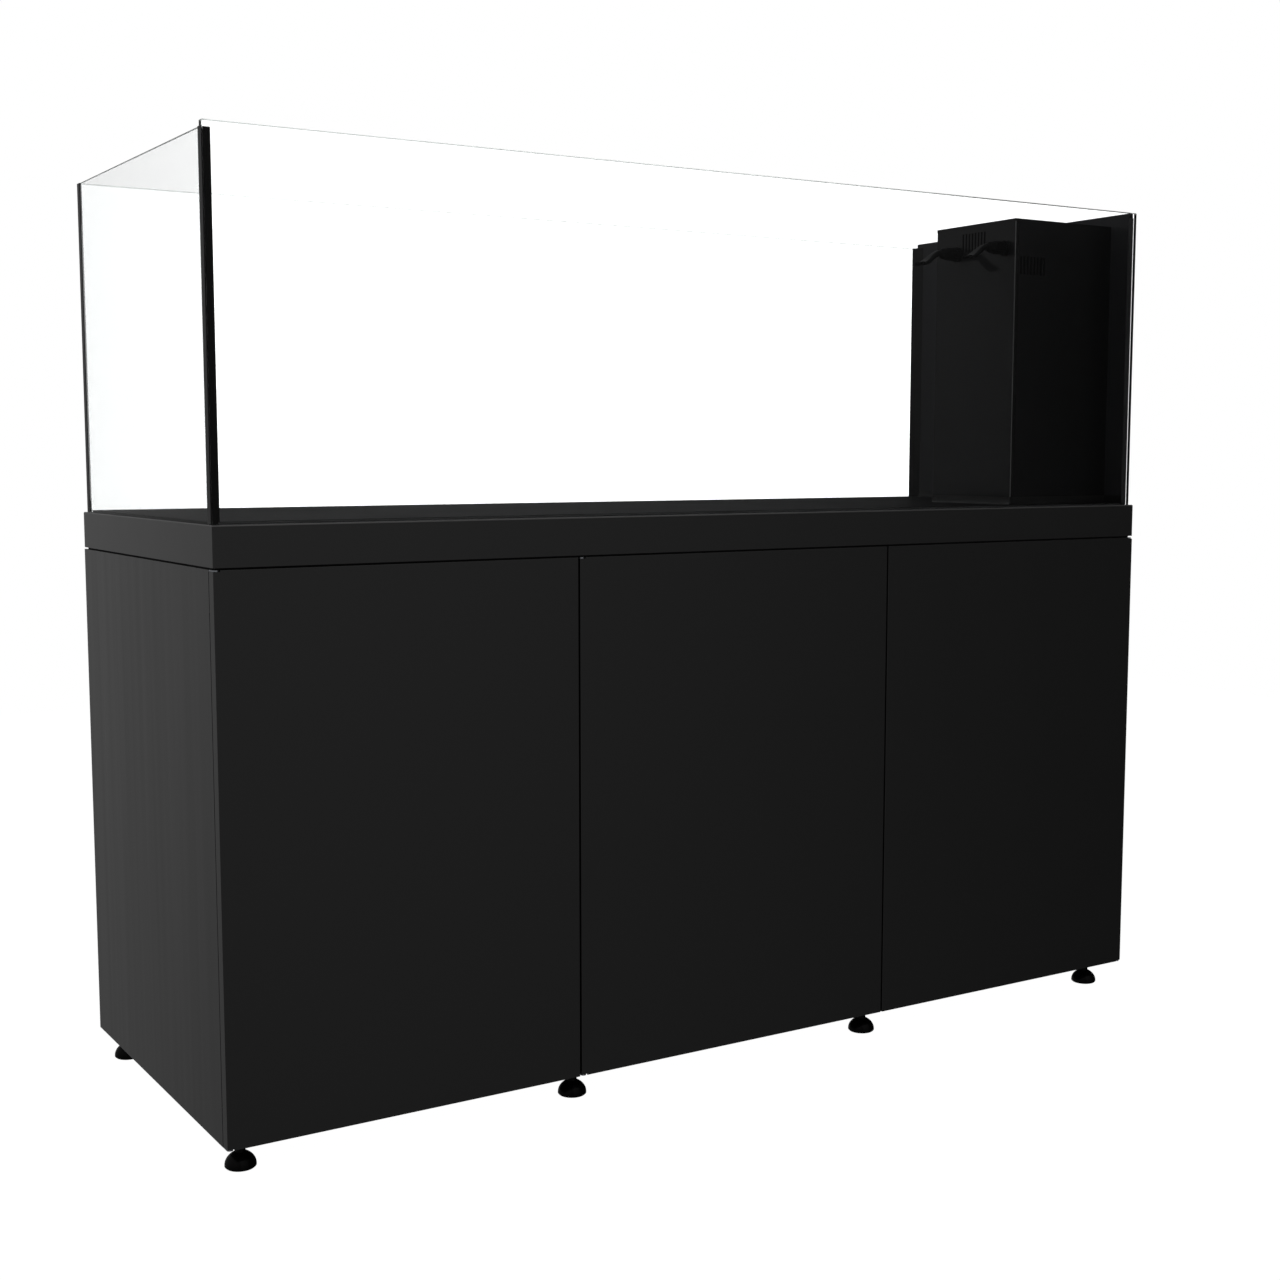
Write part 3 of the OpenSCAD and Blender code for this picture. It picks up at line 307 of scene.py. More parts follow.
# Sprayed satin polyurethane lacquer on MDF: deep black, with an even sheen and fine orange peel.
LACQUER = Finish("satin black lacquer", "#0d0d0d", 0.3, 0.6, mottle=0.1, mottle_mm=160,
                 grain_mm=1.6, grain_height_mm=0.006)
# The same lacquer on the end boards, where long sanding marks show as faint upright streaks.
END_LACQUER = Streaked("satin black lacquer on sanded ends", "#0d0d0d", 0.3, 0.6, mottle=0.05,
                       mottle_mm=60, grain_mm=1.6, grain_height_mm=0.006, run=Run.UPRIGHT)
# Melamine-faced board inside the cabinet: dead flat, with a fine pressed grain.
MELAMINE = Finish("black melamine board", "#1d1d1e", 0.6, 0.4, mottle=0.1, grain_mm=0.5,
                  grain_height_mm=0.015)
# Polyester powder coat on folded steel sheet: satin, with a fine regular texture.
POWDER = Finish("satin black powder coat", "#111111", 0.3, 0.6, grain_mm=0.45,
                grain_height_mm=0.006)
# The same coat, glossier, over the sheet's fold, painted lighter: a painted fine line of highlight.
PAINTED_FOLD_HIGHLIGHT = Finish("powder coat over the fold with a painted highlight", "#3e3e3e", 0.3, 0.95, mottle=0.05,
                     grain_mm=0.45, grain_height_mm=0.004)
# Birch plywood: pale plies in two tones, lightly sanded.
PLYWOOD = Laminated("birch plywood", "#b08a5c", 0.6, 0.4, mottle=0.2, grain_mm=0.8,
                    grain_height_mm=0.03)
# The same plywood darkened to near black as painted shade, where it shows in the shadow gap.
PAINTED_SHADE_PLY = Laminated("birch plywood darkened as painted shade", "#101010", 0.7, 0.2, mottle=0.2,
                        grain_mm=0.8, grain_height_mm=0.03, second="#181716")
# Closed-cell polyethylene foam: matt, with open cells on its cut edge.
FOAM = Finish("black cell foam", "#1a1a1a", 0.95, 0.2, mottle=0.25, mottle_mm=1.2, grain_mm=0.8,
              grain_height_mm=0.12)
# Low-iron float glass: all but colourless through its faces and its flat-polished edges.
CLEAR = Glazing("low-iron float glass", "#fdfefe", 0.0, 0.2, mottle=0.002, mottle_mm=400, ior=1.5)
# The ground arris along a pane's edges: frosted by a 400 grit belt, so it reads as a grey line.
ARRIS = Glazing("ground arris of low-iron glass", "#e9eeec", 0.6, 0.2, mottle_mm=30, ior=1.5)
# Ordinary float glass of the sump: a light green tint.
FLOAT = Glazing("green float glass", "#dff0ea", 0.0, mottle=0.01, mottle_mm=300, ior=1.3)
# Back-painted float glass: black under a mirror-smooth face.
BLACK_GLASS = Finish("black back-painted glass", "#333335", 0.08, 0.06, mottle=0.05,
                     mottle_mm=300, grain_mm=60, grain_height_mm=0.004)
# Black float glass laid as a tank floor, dulled by its silicone film.
FLOOR_GLASS = Finish("black floor glass", "#101011", 0.5, 0.008, mottle=0.06, mottle_mm=200,
                     grain_mm=40)
# Acetoxy silicone, tooled wet: black rubber with a soft gloss and slight waviness.
SILICONE = Finish("cured black silicone", "#0d0d0d", 0.35, 0.2, mottle=0.15, mottle_mm=12,
                  grain_mm=9, grain_height_mm=0.08)
# The same silicone pressed flat behind a pane, painted lighter grey: painted light for its look
# through the glass.
PAINTED_LIGHT_JOINT = Finish("black silicone behind glass, painted lighter", "#4c4c4d", 0.5, 0.2, mottle=0.1, mottle_mm=20,
               grain_mm=6, grain_height_mm=0.03)
# Cast acrylic sheet: jet black, glossy, flat.
ACRYLIC = Finish("gloss black cast acrylic", "#161617", 0.1, 0.16, mottle=0.05, mottle_mm=250,
                 grain_mm=80, grain_height_mm=0.006)
# The bevelled corner of cast acrylic, painted light grey: a painted highlight, a thin lighter line.
PAINTED_CORNER_HIGHLIGHT = Finish("black acrylic corner with a painted highlight", "#656565", 0.45, 0.5, mottle=0.1, mottle_mm=20,
                 grain_mm=0.4, grain_height_mm=0.006)
# Injection-moulded PVC fittings: black with the fine spark texture of the mould.
MOULDED_PVC = Finish("moulded black pvc", "#0c0c0d", 0.32, 0.012, mottle=0.1, mottle_mm=20,
                     grain_mm=0.4)
# Extruded pressure pipe: dark grey, with drawn lines along its length.
GREY_PVC = Finish("extruded grey pvc pipe", "#4b4e52", 0.35, mottle=0.06, mottle_mm=15,
                  grain_mm=0.7, grain_height_mm=0.012, run=Run.UPRIGHT)
# ABS housings: moulded black with a matt spark texture.
ABS = Finish("moulded black abs", "#1b1c1d", 0.5, 0.45, mottle=0.1, mottle_mm=25, grain_mm=0.35,
             grain_height_mm=0.02)
# Acetal plungers: milky white, slippery and slightly waxy.
ACETAL = Finish("white acetal", "#e4e3dc", 0.38, mottle=0.03, mottle_mm=8, grain_mm=0.3,
                grain_height_mm=0.004)
# White polypropylene of the media basket: waxy, faintly uneven.
POLYPROPYLENE = Finish("moulded white polypropylene", "#dcdcd6", 0.45, mottle=0.05, mottle_mm=30,
                       grain_mm=0.5, grain_height_mm=0.012)
# Glass-filled nylon feet: near-black, glossy from a polished mould.
NYLON = Finish("gloss black nylon", "#040404", 0.25, 0.08, mottle=0.1, mottle_mm=8, grain_mm=0.8,
               grain_height_mm=0.004)
# Zinc-plated steel: bluish grey, brushed along its length under the plating.
ZINC = Finish("zinc-plated steel", "#9a9da2", 0.32, metallic=1.0, mottle=0.12, mottle_mm=6,
              grain_mm=0.25, grain_height_mm=0.006, run=Run.LENGTHWISE)
# Red vinyl dipped over the valve's steel lever: thick, glossy and slightly wavy.
RED_VINYL = Finish("red dipped vinyl", "#9a1a18", 0.28, coat=0.2, mottle_mm=10, grain_mm=3,
                   grain_height_mm=0.04)
# Matt black textured rubber under the feet.
RUBBER = Finish("black rubber pad", "#0c0c0c", 0.8, 0.3, mottle=0.2, mottle_mm=3, grain_mm=0.6,
                grain_height_mm=0.05)

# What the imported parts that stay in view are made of.
CARRIED = {
    ABS: ("latch_housings",),
    ACETAL: ("plunger_left", "plunger_middle", "plunger_right"),
    ZINC: ("hinge_leaves", "hinge_screws", "door_left_fittings", "door_middle_fittings",
           "door_right_fittings", "foot_sockets"),
    PLYWOOD: ("deck",),
    FOAM: ("levelling_mat",),
    # The rim core wears the plywood darkened as painted shade, for the shadow gap.
    PAINTED_SHADE_PLY: ("rim_core",),
}


# ---- shapes ----


def merged(node: str) -> Shape:
    """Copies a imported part's mesh, with its loose triangles joined into flat faces.

    Args:
        node: The part's node name.

    Returns:
        A new mesh that points the same way as the part's.
    """
    shape = bmesh.new()
    shape.from_mesh(frame["nodes"][node].data)
    bmesh.ops.remove_doubles(shape, verts=shape.verts, dist=WELD)
    bmesh.ops.dissolve_limit(shape, angle_limit=math.radians(FLAT_DEG), verts=shape.verts,
                             edges=shape.edges)
    return shape


def box_of(verts: Iterable[Vert]) -> Box:
    """Measures the box around some vertices.

    Args:
        verts: The vertices.

    Returns:
        Its lowest and its highest corner.
    """
    points = [v.co for v in verts]
    low = Vector([min(p[i] for p in points) for i in range(3)])
    return low, Vector([max(p[i] for p in points) for i in range(3)])


def loose_boxes(node: str) -> list[Box]:
    """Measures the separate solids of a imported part.

    Args:
        node: The part's node name.

    Returns:
        The box of each solid, in the order of their lowest x, y and z.
    """
    shape = merged(node)
    left, found = set(shape.verts), []
    while left:
        front = [left.pop()]
        island = list(front)
        while front:
            vert = front.pop()
            near = {e.other_vert(vert) for e in vert.link_edges} & left
            left -= near
            front += near
            island += near
        found.append(box_of(island))
    shape.free()
    return sorted(found, key=lambda box: tuple(round(v, 5) for v in box[0]))


def upright(box: Box, z: float = 0.0) -> Matrix:
    """Places what is built along Z in the middle of a box's plan, from a height up."""
    low, high = box
    return Matrix.Translation(((low.x + high.x) / 2, (low.y + high.y) / 2, z))


def raised(z: float) -> Matrix:
    """Lifts what is built along Z."""
    return Matrix.Translation((0, 0, z))


def along_x(point: Vector) -> Matrix:
    """Places what is built up along Z so that it runs from a point towards -X."""
    return Matrix.Translation(point) @ Matrix.Rotation(-math.pi / 2, 4, "Y")


def outline(shape: Shape) -> list[Edge]:
    """Finds the edges that run along the twelve edges of a mesh's own box.

    Args:
        shape: The mesh.

    Returns:
        Those edges.
    """
    box = box_of(shape.verts)

    def sides(vert: Vert) -> set[tuple[int, int]]:
        """Names the box's sides that a vertex lies in."""
        return {(axis, end) for axis in range(3) for end in (0, 1)
                if abs(vert.co[axis] - box[end][axis]) < SAME}

    return [e for e in shape.edges if len(sides(e.verts[0]) & sides(e.verts[1])) >= 2]


def sharp_edges(shape: Shape) -> list[Edge]:
    """Finds the edges where a mesh turns a corner."""
    return [e for e in shape.edges
            if e.is_manifold and e.calc_face_angle(0) > math.radians(SHARP_DEG)]


def soften(shape: Shape, edges: list[Edge], radius: float, segments: int = 3) -> None:
    """Rounds edges, or with one segment bevels them flat, as an arris."""
    bmesh.ops.bevel(shape, geom=edges, offset=radius, offset_type="OFFSET", segments=segments,
                    profile=0.5, affect="EDGES", clamp_overlap=True)


def piece(shape: Shape, name: str, finishes: Sequence[Finish], slot: str, *replaced: str,
          body: str = "cabinet", shading: Shading = Shading.EASED, even: bool = False) -> None:
    """Turns a mesh under construction into an object that rides on a body.

    Args:
        shape: The mesh, which is freed.
        name: The object's name.
        finishes: Its finishes, in the order of the faces' material numbers.
        slot: Not used.
        *replaced: The nodes that it stands for.
        body: The body that carries it.
        shading: Which of its edges stay sharp.
        even: Whether large faces keep flat shading beside their rounded edges.
    """
    mesh = bpy.data.meshes.new(name)
    shape.to_mesh(mesh)
    shape.free()
    for finish in finishes:
        mesh.materials.append(finish.material())
    mesh.shade_smooth()
    mesh.set_sharp_from_angle(angle=math.radians(shading.value))
    made = bpy.data.objects.new(name, mesh)
    bpy.context.scene.collection.objects.link(made)
    if even:
        made.modifiers.new("even shading", "WEIGHTED_NORMAL").keep_sharp = True
    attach(made, body)
    if replaced:
        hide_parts(*replaced)
    LOG.info("%s: %d faces on %s", name, len(mesh.polygons), body)


def eased(node: str, name: str, finish: Finish, slot: str, radius: float, segments: int = 3,
          **settings: object) -> None:
    """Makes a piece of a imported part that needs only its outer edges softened.

    Args:
        node: The part's node name.
        name: The piece's name.
        finish: Its finish.
        slot: Its material slot in the record.
        radius: How far its edges are rounded.
        segments: Spans of the rounding; one makes it flat.
        **settings: What else piece() is told.
    """
    shape = merged(node)
    soften(shape, outline(shape), radius, segments)
    piece(shape, name, [finish], slot, node, even=True, **settings)


def circle(radius: float, height: float, steps: int) -> list[Vector]:
    """Returns points evenly around the Z axis."""
    return [Vector((radius * math.cos(a), radius * math.sin(a), height))
            for a in (2 * math.pi * i / steps for i in range(steps))]


def lathe(shape: Shape, profile: Profile, place: Matrix, steps: int = SIDES, slot: int = 0,
          closed: bool = False) -> None:
    """Adds a turned solid to a mesh.

    Args:
        shape: The mesh that it is added to.
        profile: Radius and height of each point, from the bottom up; a radius of 0 closes an end.
        place: Where the turning axis, its own Z, goes.
        steps: Sides around the axis.
        slot: Material number of its faces.
        closed: Whether the profile is a loop that never meets the axis.
    """
    points = [tuple(point) for point in profile]
    if closed:
        points = [points[0]] + [b for a, b in zip(points, points[1:]) if math.dist(a, b) > SEAM]
        if math.dist(points[0], points[-1]) < SEAM:
            points.pop()
    rings = [[shape.verts.new(place @ point)
              for point in (circle(radius, height, steps) if radius > TINY
                            else [Vector((0, 0, height))])] for radius, height in points]
    first = len(shape.faces)
    skin(shape, rings, slot, closed)
    if closed:
        shape.faces.ensure_lookup_table()
        bmesh.ops.recalc_face_normals(shape, faces=shape.faces[first:])


def skin(shape: Shape, rings: list[list[Vert]], slot: int = 0, closed: bool = False) -> None:
    """Joins rings of vertices by faces; a ring of one vertex is a pole.

    Args:
        shape: The mesh that holds the rings.
        rings: The rings, in order along the piece.
        slot: Material number of the faces.
        closed: Whether the last ring joins the first.
    """
    for low, high in zip(rings, rings[1:] + rings[:1] if closed else rings[1:]):
        count = max(len(low), len(high))
        for i in range(count):
            j = (i + 1) % count
            corners = dict.fromkeys((low[i % len(low)], low[j % len(low)],
                                     high[j % len(high)], high[i % len(high)]))
            if len(corners) > 2:
                shape.faces.new(list(corners)).material_index = slot


def rounded(points: Iterable[Sequence[float]], radii: float | Sequence[float],
            steps: int = 3) -> list[Vector]:
    """Rounds the inner corners of a line of points with arcs.

    Args:
        points: The line's corners, in two or three dimensions.
        radii: One radius for all corners, or one for each inner corner.
        steps: Spans in an arc.

    Returns:
        The line's points, with each inner corner replaced by an arc's points.
    """
    path = [Vector(p) for p in points]
    inner = [radii] * (len(path) - 2) if isinstance(radii, (int, float)) else list(radii)
    result = [path[0]]
    for before, corner, after, radius in zip(path, path[1:], path[2:], inner):
        back, ahead = (before - corner).normalized(), (after - corner).normalized()
        half = math.acos(max(-1.0, min(1.0, back.dot(ahead)))) / 2
        if radius < TINY or half > math.pi / 2 - STRAIGHT:
            result.append(corner)
            continue
        longest = ARC_SHARE * min((before - corner).length, (after - corner).length)
        reach = min(radius / math.tan(half), longest)
        away = reach * math.tan(half) / math.sin(half)
        centre = corner + (back + ahead).normalized() * away
        start, end = corner + back * reach - centre, corner + ahead * reach - centre
        sweep = math.pi - 2 * half
        for t in (i / steps for i in range(steps + 1)):
            turned = start * math.sin((1 - t) * sweep) + end * math.sin(t * sweep)
            result.append(centre + turned / math.sin(sweep))
    result.append(path[-1])
    return result


def tube(shape: Shape, path: Sequence[Vector], outer: float, inner: float,
         steps: int = COARSE) -> None:
    """Adds a pipe that follows a path, with its bore and its two cut ends.

    Args:
        shape: The mesh that it is added to.
        path: Its centreline.
        outer: Its outer radius.
        inner: Its bore's radius.
        steps: Sides around it.
    """
    ahead = (path[1] - path[0]).normalized()
    across = ahead.orthogonal().normalized()
    walls: list[list[list[Vert]]] = [[], []]
    for i, point in enumerate(path):
        along = (path[min(i + 1, len(path) - 1)] - path[max(i - 1, 0)]).normalized()
        across = (ahead.rotation_difference(along) @ across).normalized()
        ahead = along
        up = along.cross(across)
        for wall, radius in zip(walls, (outer, inner)):
            wall.append([shape.verts.new(point + (across * p.x + up * p.y) * radius)
                         for p in circle(1.0, 0.0, steps)])
    skin(shape, walls[0] + walls[1][::-1], closed=True)


def bar(shape: Shape, middle: Vector, reach: Vector, outer: float, inner: float,
        steps: int = COARSE) -> None:
    """Adds a straight pipe that reaches as far either way from its middle."""
    tube(shape, [middle - reach, middle + reach], outer, inner, steps)


def ball(radius: float, spans: int) -> list[tuple[float, float]]:
    """Lists the points of a sphere's profile, from its lowest point up.

    Args:
        radius: The sphere's radius.
        spans: Spans from pole to pole.

    Returns:
        Radius and height of each point.
    """
    turns = [math.pi * (i / spans - 0.5) for i in range(1, spans)]
    return [(0.0, -radius)] + [(radius * math.cos(a), radius * math.sin(a))
                               for a in turns] + [(0.0, radius)]


def block(shape: Shape, low: Sequence[float], high: Sequence[float], radius: float,
          segments: int = 2) -> None:
    """Adds a box with rounded edges to a mesh.

    Args:
        shape: The mesh that it is added to.
        low: Its lowest corner.
        high: Its highest corner.
        radius: How far its edges are rounded.
        segments: Spans of the rounding.
    """
    made = bmesh.ops.create_cube(shape, size=1.0)["verts"]
    size, middle = Vector(high) - Vector(low), (Vector(high) + Vector(low)) / 2
    for v in made:
        v.co = v.co * size + middle
    faces = dict.fromkeys(f for v in made for f in v.link_faces)
    soften(shape, list(dict.fromkeys(e for f in faces for e in f.edges)), radius, segments)


def outward(shape: Shape) -> Shape:
    """Turns all faces outwards, after joining doubled vertices.

    Args:
        shape: The mesh, changed in place.

    Returns:
        The same mesh.
    """
    bmesh.ops.remove_doubles(shape, verts=shape.verts, dist=TINY)
    bmesh.ops.recalc_face_normals(shape, faces=shape.faces)
    return shape


def mark(shape: Shape, number: int, chosen: Callable[[bmesh.types.BMFace], bool]) -> None:
    """Gives the faces that a test picks out another finish.

    Args:
        shape: The mesh.
        number: The finish's number.
        chosen: The test.
    """
    shape.normal_update()
    for face in shape.faces:
        if chosen(face):
            face.material_index = number


# ---- geometry node trees, for what repeats ----


def tree_with(name: str, inputs: dict[str, float | int]) -> tuple[Tree, dict[str, Socket]]:
    """Starts a geometry node tree with named inputs.

    Args:
        name: The tree's name.
        inputs: Each input's name and default; whole numbers make integer sockets.

    Returns:
        The tree, and the socket that gives each input's value.
    """
    tree = bpy.data.node_groups.new(name, "GeometryNodeTree")
    tree.interface.new_socket("Geometry", in_out="OUTPUT", socket_type="NodeSocketGeometry")
    for label, value in inputs.items():
        kind = "NodeSocketInt" if isinstance(value, int) else "NodeSocketFloat"
        socket = tree.interface.new_socket(label, in_out="INPUT", socket_type=kind)
        socket.default_value = value
    given = tree.nodes.new("NodeGroupInput")
    return tree, {label: given.outputs[label] for label in inputs}


def close_tree(tree: Tree, geometry: Socket, finish: Finish) -> Tree:
    """Ends a tree in real geometry that wears a finish.

    Args:
        tree: The tree.
        geometry: What it has made so far.
        finish: The finish.

    Returns:
        The same tree.
    """
    real = add(tree, "GeometryNodeRealizeInstances", {0: geometry})
    worn = add(tree, "GeometryNodeSetMaterial", {"Geometry": real,
                                                 "Material": finish.material()})
    add(tree, "NodeGroupOutput", {0: worn})
    return tree


def strew(tree: Tree, points: Socket, form: Socket, finish: Finish) -> Tree:
    """Ends a tree in copies of a form, one on each point."""
    spread = add(tree, "GeometryNodeInstanceOnPoints", {"Points": points, "Instance": form})
    return close_tree(tree, spread, finish)


def grow(shape: Shape, tree: Tree, values: dict[str, float | int], place: Matrix) -> None:
    """Runs a tree with its inputs set and adds what it makes to a mesh.

    Args:
        shape: The mesh under construction.
        tree: The tree.
        values: Its inputs' values, by name.
        place: Where its result goes.
    """
    host = bpy.data.objects.new("host", bpy.data.meshes.new("host"))
    bpy.context.scene.collection.objects.link(host)
    modifier = host.modifiers.new(tree.name, "NODES")
    modifier.node_group = tree
    for item in tree.interface.items_tree:
        if item.item_type == "SOCKET" and item.in_out == "INPUT" and item.name in values:
            modifier[item.identifier] = values[item.name]
    seen = host.evaluated_get(bpy.context.evaluated_depsgraph_get())
    mesh = bpy.data.meshes.new_from_object(seen)
    bpy.data.objects.remove(host)
    mesh.transform(place)
    mesh.polygons.foreach_set("material_index", [0] * len(mesh.polygons))
    shape.from_mesh(mesh)
    bpy.data.meshes.remove(mesh)


def rib_ring_tree(finish: Finish, sides: int = 10) -> Tree:
    """Makes a tree for a ring of round ribs that stand around the Z axis, halfway up at Z = 0.

    Args:
        finish: What it is made of.
        sides: Sides of a rib.

    Returns:
        The tree.
    """
    tree, given = tree_with("ring of ribs", {"Ribs": 18, "Ring radius": 0.012,
                                             "Rib radius": 0.001, "Rib length": 0.01})
    ring = add(tree, "GeometryNodeMeshCircle", {"Vertices": given["Ribs"],
                                                "Radius": given["Ring radius"]})
    rib = add(tree, "GeometryNodeMeshCylinder", {
        "Vertices": sides, "Radius": given["Rib radius"], "Depth": given["Rib length"]})
    return strew(tree, ring, rib, finish)


def thread_tree(finish: Finish, spans: int = COARSE) -> Tree:
    """Makes a tree for a screw thread, a V-shaped ridge that climbs around the Z axis from 0.

    Args:
        finish: What it is made of.
        spans: Spans in a turn.

    Returns:
        The tree.
    """
    tree, given = tree_with("screw thread", {"Turns": 10.0, "Radius": 0.005, "Height": 0.015,
                                             "Depth": 0.0008})
    helix = add(tree, "GeometryNodeCurveSpiral", {
        "Resolution": spans, "Rotations": given["Turns"], "Start Radius": given["Radius"],
        "End Radius": given["Radius"], "Height": given["Height"]})
    ridge = add(tree, "GeometryNodeCurvePrimitiveCircle", {"Resolution": 4,
                                                           "Radius": given["Depth"]})
    swept = add(tree, "GeometryNodeCurveToMesh", {"Curve": helix, "Profile Curve": ridge,
                                                  "Fill Caps": True})
    return close_tree(tree, swept, finish)


def fin_row_tree(finish: Finish, sides: int = SMALL) -> Tree:
    """Makes a tree for a row of thin discs along +Z, such as cooling fins.

    Args:
        finish: What it is made of.
        sides: Sides of a disc.

    Returns:
        The tree.
    """
    tree, given = tree_with("row of fins", {"Fins": 9, "Pitch": 0.006, "Radius": 0.03,
                                            "Thickness": 0.002})
    step = add(tree, "ShaderNodeCombineXYZ", {"Z": given["Pitch"]})
    line = add(tree, "GeometryNodeMeshLine", {"Count": given["Fins"], "Offset": step})
    fin = add(tree, "GeometryNodeMeshCylinder", {
        "Vertices": sides, "Radius": given["Radius"], "Depth": given["Thickness"]})
    return strew(tree, line, fin, finish)


def slat_grid_tree(finish: Finish) -> Tree:
    """Makes a tree for a flat grid of upright bars in the XZ plane, around the origin.

    Args:
        finish: What it is made of.

    Returns:
        The tree.
    """
    tree, given = tree_with("grid of slats", {
        "Columns": 12, "Rows": 4, "Width": 0.1, "Height": 0.15, "Slat width": 0.003,
        "Slat height": 0.03, "Slat depth": 0.002})
    grid = add(tree, "GeometryNodeMeshGrid", {
        "Size X": given["Width"], "Size Y": given["Height"], "Vertices X": given["Columns"],
        "Vertices Y": given["Rows"]})
    stood = add(tree, "GeometryNodeTransform", {"Geometry": grid,
                                                "Rotation": (math.pi / 2, 0.0, 0.0)})
    size = add(tree, "ShaderNodeCombineXYZ", {
        "X": given["Slat width"], "Y": given["Slat depth"], "Z": given["Slat height"]})
    return strew(tree, stood, add(tree, "GeometryNodeMeshCube", {"Size": size}), finish)


# ---- the aquarium's sub-assemblies ----


def joint_point(name: str) -> Vector:
    """Returns the point that a joint turns about."""
    return Vector(next(j["pos_m"] for j in frame["joints"] if j["name"] == name))


@dataclass
class Cabinet:
    """The cabinet's boards and its three doors."""

    board_edge: float = 0.6 * MM
    door_edge: float = 0.7 * MM
    boards: dict[str, tuple[Finish, str]] = field(default_factory=lambda: {
        "side_panel_left": (END_LACQUER, "side_board"),
        "side_panel_right": (END_LACQUER, "side_board"),
        "bottom_panel": (MELAMINE, "body_board"),
        "top_panel": (MELAMINE, "body_board"),
        "partition": (MELAMINE, "body_board"),
        "centre_posts": (MELAMINE, "body_board"),
        "back_panel": (LACQUER, "body_board"),
    })

    def build(self) -> None:
        """Makes the boards and the doors."""
        for node, (finish, slot) in self.boards.items():
            eased(node, node + "_board", finish, slot, self.board_edge)
        for node in ("door_left", "door_middle", "door_right"):
            self.door(node)

    def door(self, node: str) -> None:
        """Makes one door, with its top and bottom edges eased like its upright ones.

        Args:
            node: Its node, which is its body's name too.
        """
        shape = merged(node)
        ends = [corner.z for corner in box_of(shape.verts)]
        level = [e for e in sharp_edges(shape)
                 if any(all(abs(v.co.z - end) < SAME for v in e.verts) for end in ends)]
        soften(shape, level, self.door_edge)
        piece(shape, node + "_front", [LACQUER], "lacquered_board", node, body=node, even=True)


@dataclass
class Rim:
    """The folded sheet-metal rim around the tank's foot, welded and ground at its corners."""

    fold_r: float = 2.0 * MM
    fold_share: float = 0.9     # the most of a flange that the fold's curve takes up
    corner_r: float = 1.6 * MM
    least_r: float = 0.2 * MM   # of the corners of the inner loops
    sheet: float = 2.0 * MM
    end_sheet: float = 1.8 * MM
    glass_gap: float = 0.5 * MM
    corner_steps: int = 4
    fold_steps: int = 5
    painted_highlight_band: tuple[float, float] = (TILT, 0.97)    # how far up its lit faces look
    seal_back: float = 0.3 * MM
    seal_w: float = 6.0 * MM
    seal_gap: float = 0.3 * MM
    seal_up: float = 1.8 * MM
    seal_edge: float = 0.2 * MM

    def build(self) -> None:
        """Makes the rim in one piece, and the door seal under it."""
        low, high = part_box("rim_front")[0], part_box("rim_back")[1]
        glass_low, glass_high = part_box("levelling_mat")
        gap, top = self.glass_gap, high.z
        flange = (glass_low.x - gap - low.x, high.x - glass_high.x - gap,
                  glass_low.y - gap - low.y, high.y - glass_high.y - gap)
        flush = (0.0,) * 4
        insets = [(flush, low.z), (flush, top - self.fold_r)]
        for turn in (math.pi / 2 * i / self.fold_steps for i in range(1, self.fold_steps + 1)):
            inset = self.fold_r * (1 - math.cos(turn))
            insets.append((tuple(min(inset, reach * self.fold_share) for reach in flange),
                           top - self.fold_r * (1 - math.sin(turn))))
        wall = (self.end_sheet, self.end_sheet, self.sheet, self.sheet)
        insets += [(flange, top), (flange, top - self.sheet), (wall, top - self.sheet),
                   (wall, low.z)]
        shape = bmesh.new()
        skin(shape, [self.ring(shape, low, high, inset, z) for inset, z in insets], closed=True)
        # The fold's front faces take the lighter coat: a painted highlight.
        least, most = self.painted_highlight_band
        mark(outward(shape), 1,
             lambda face: least < face.normal.z < most and face.normal.y < -TILT)
        piece(shape, "rim_sheet", [POWDER, PAINTED_FOLD_HIGHLIGHT], "rim_sheet", "rim_front", "rim_back",
              "rim_left", "rim_right", shading=Shading.FORMED, even=True)
        self.seal()

    def seal(self) -> None:
        """Lays a thin foam strip under the rim's core, just clear of the doors' top edges."""
        core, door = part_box("rim_core"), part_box("door_left")
        front = core[0].y + self.seal_back
        shape = bmesh.new()
        block(shape, (core[0].x, front, door[1].z + self.seal_gap),
              (core[1].x, front + self.seal_w, core[0].z + self.seal_up), self.seal_edge)
        piece(shape, "door_seal", [FOAM], "mat_foam", even=True)

    def ring(self, shape: Shape, low: Vector, high: Vector, inset: Sequence[float],
             z: float) -> list[Vert]:
        """Adds one level loop around the rim.

        Args:
            shape: The mesh under construction.
            low: The rim's lowest corner.
            high: The rim's highest corner.
            inset: How far the loop stands in at the left, right, front and back.
            z: Its height.

        Returns:
            The loop's vertices, anticlockwise from the front left corner.
        """
        left, right = low.x + inset[0], high.x - inset[1]
        front, back = low.y + inset[2], high.y - inset[3]
        reach = max(self.corner_r - min(inset), self.least_r)
        made = []
        for x, y, start in ((left + reach, front + reach, 180), (right - reach, front + reach, 270),
                            (right - reach, back - reach, 0), (left + reach, back - reach, 90)):
            for i in range(self.corner_steps + 1):
                turn = math.radians(start + 90 * i / self.corner_steps)
                away = Vector((math.cos(turn), math.sin(turn), 0)) * reach
                made.append(shape.verts.new(Vector((x, y, z)) + away))
        return made


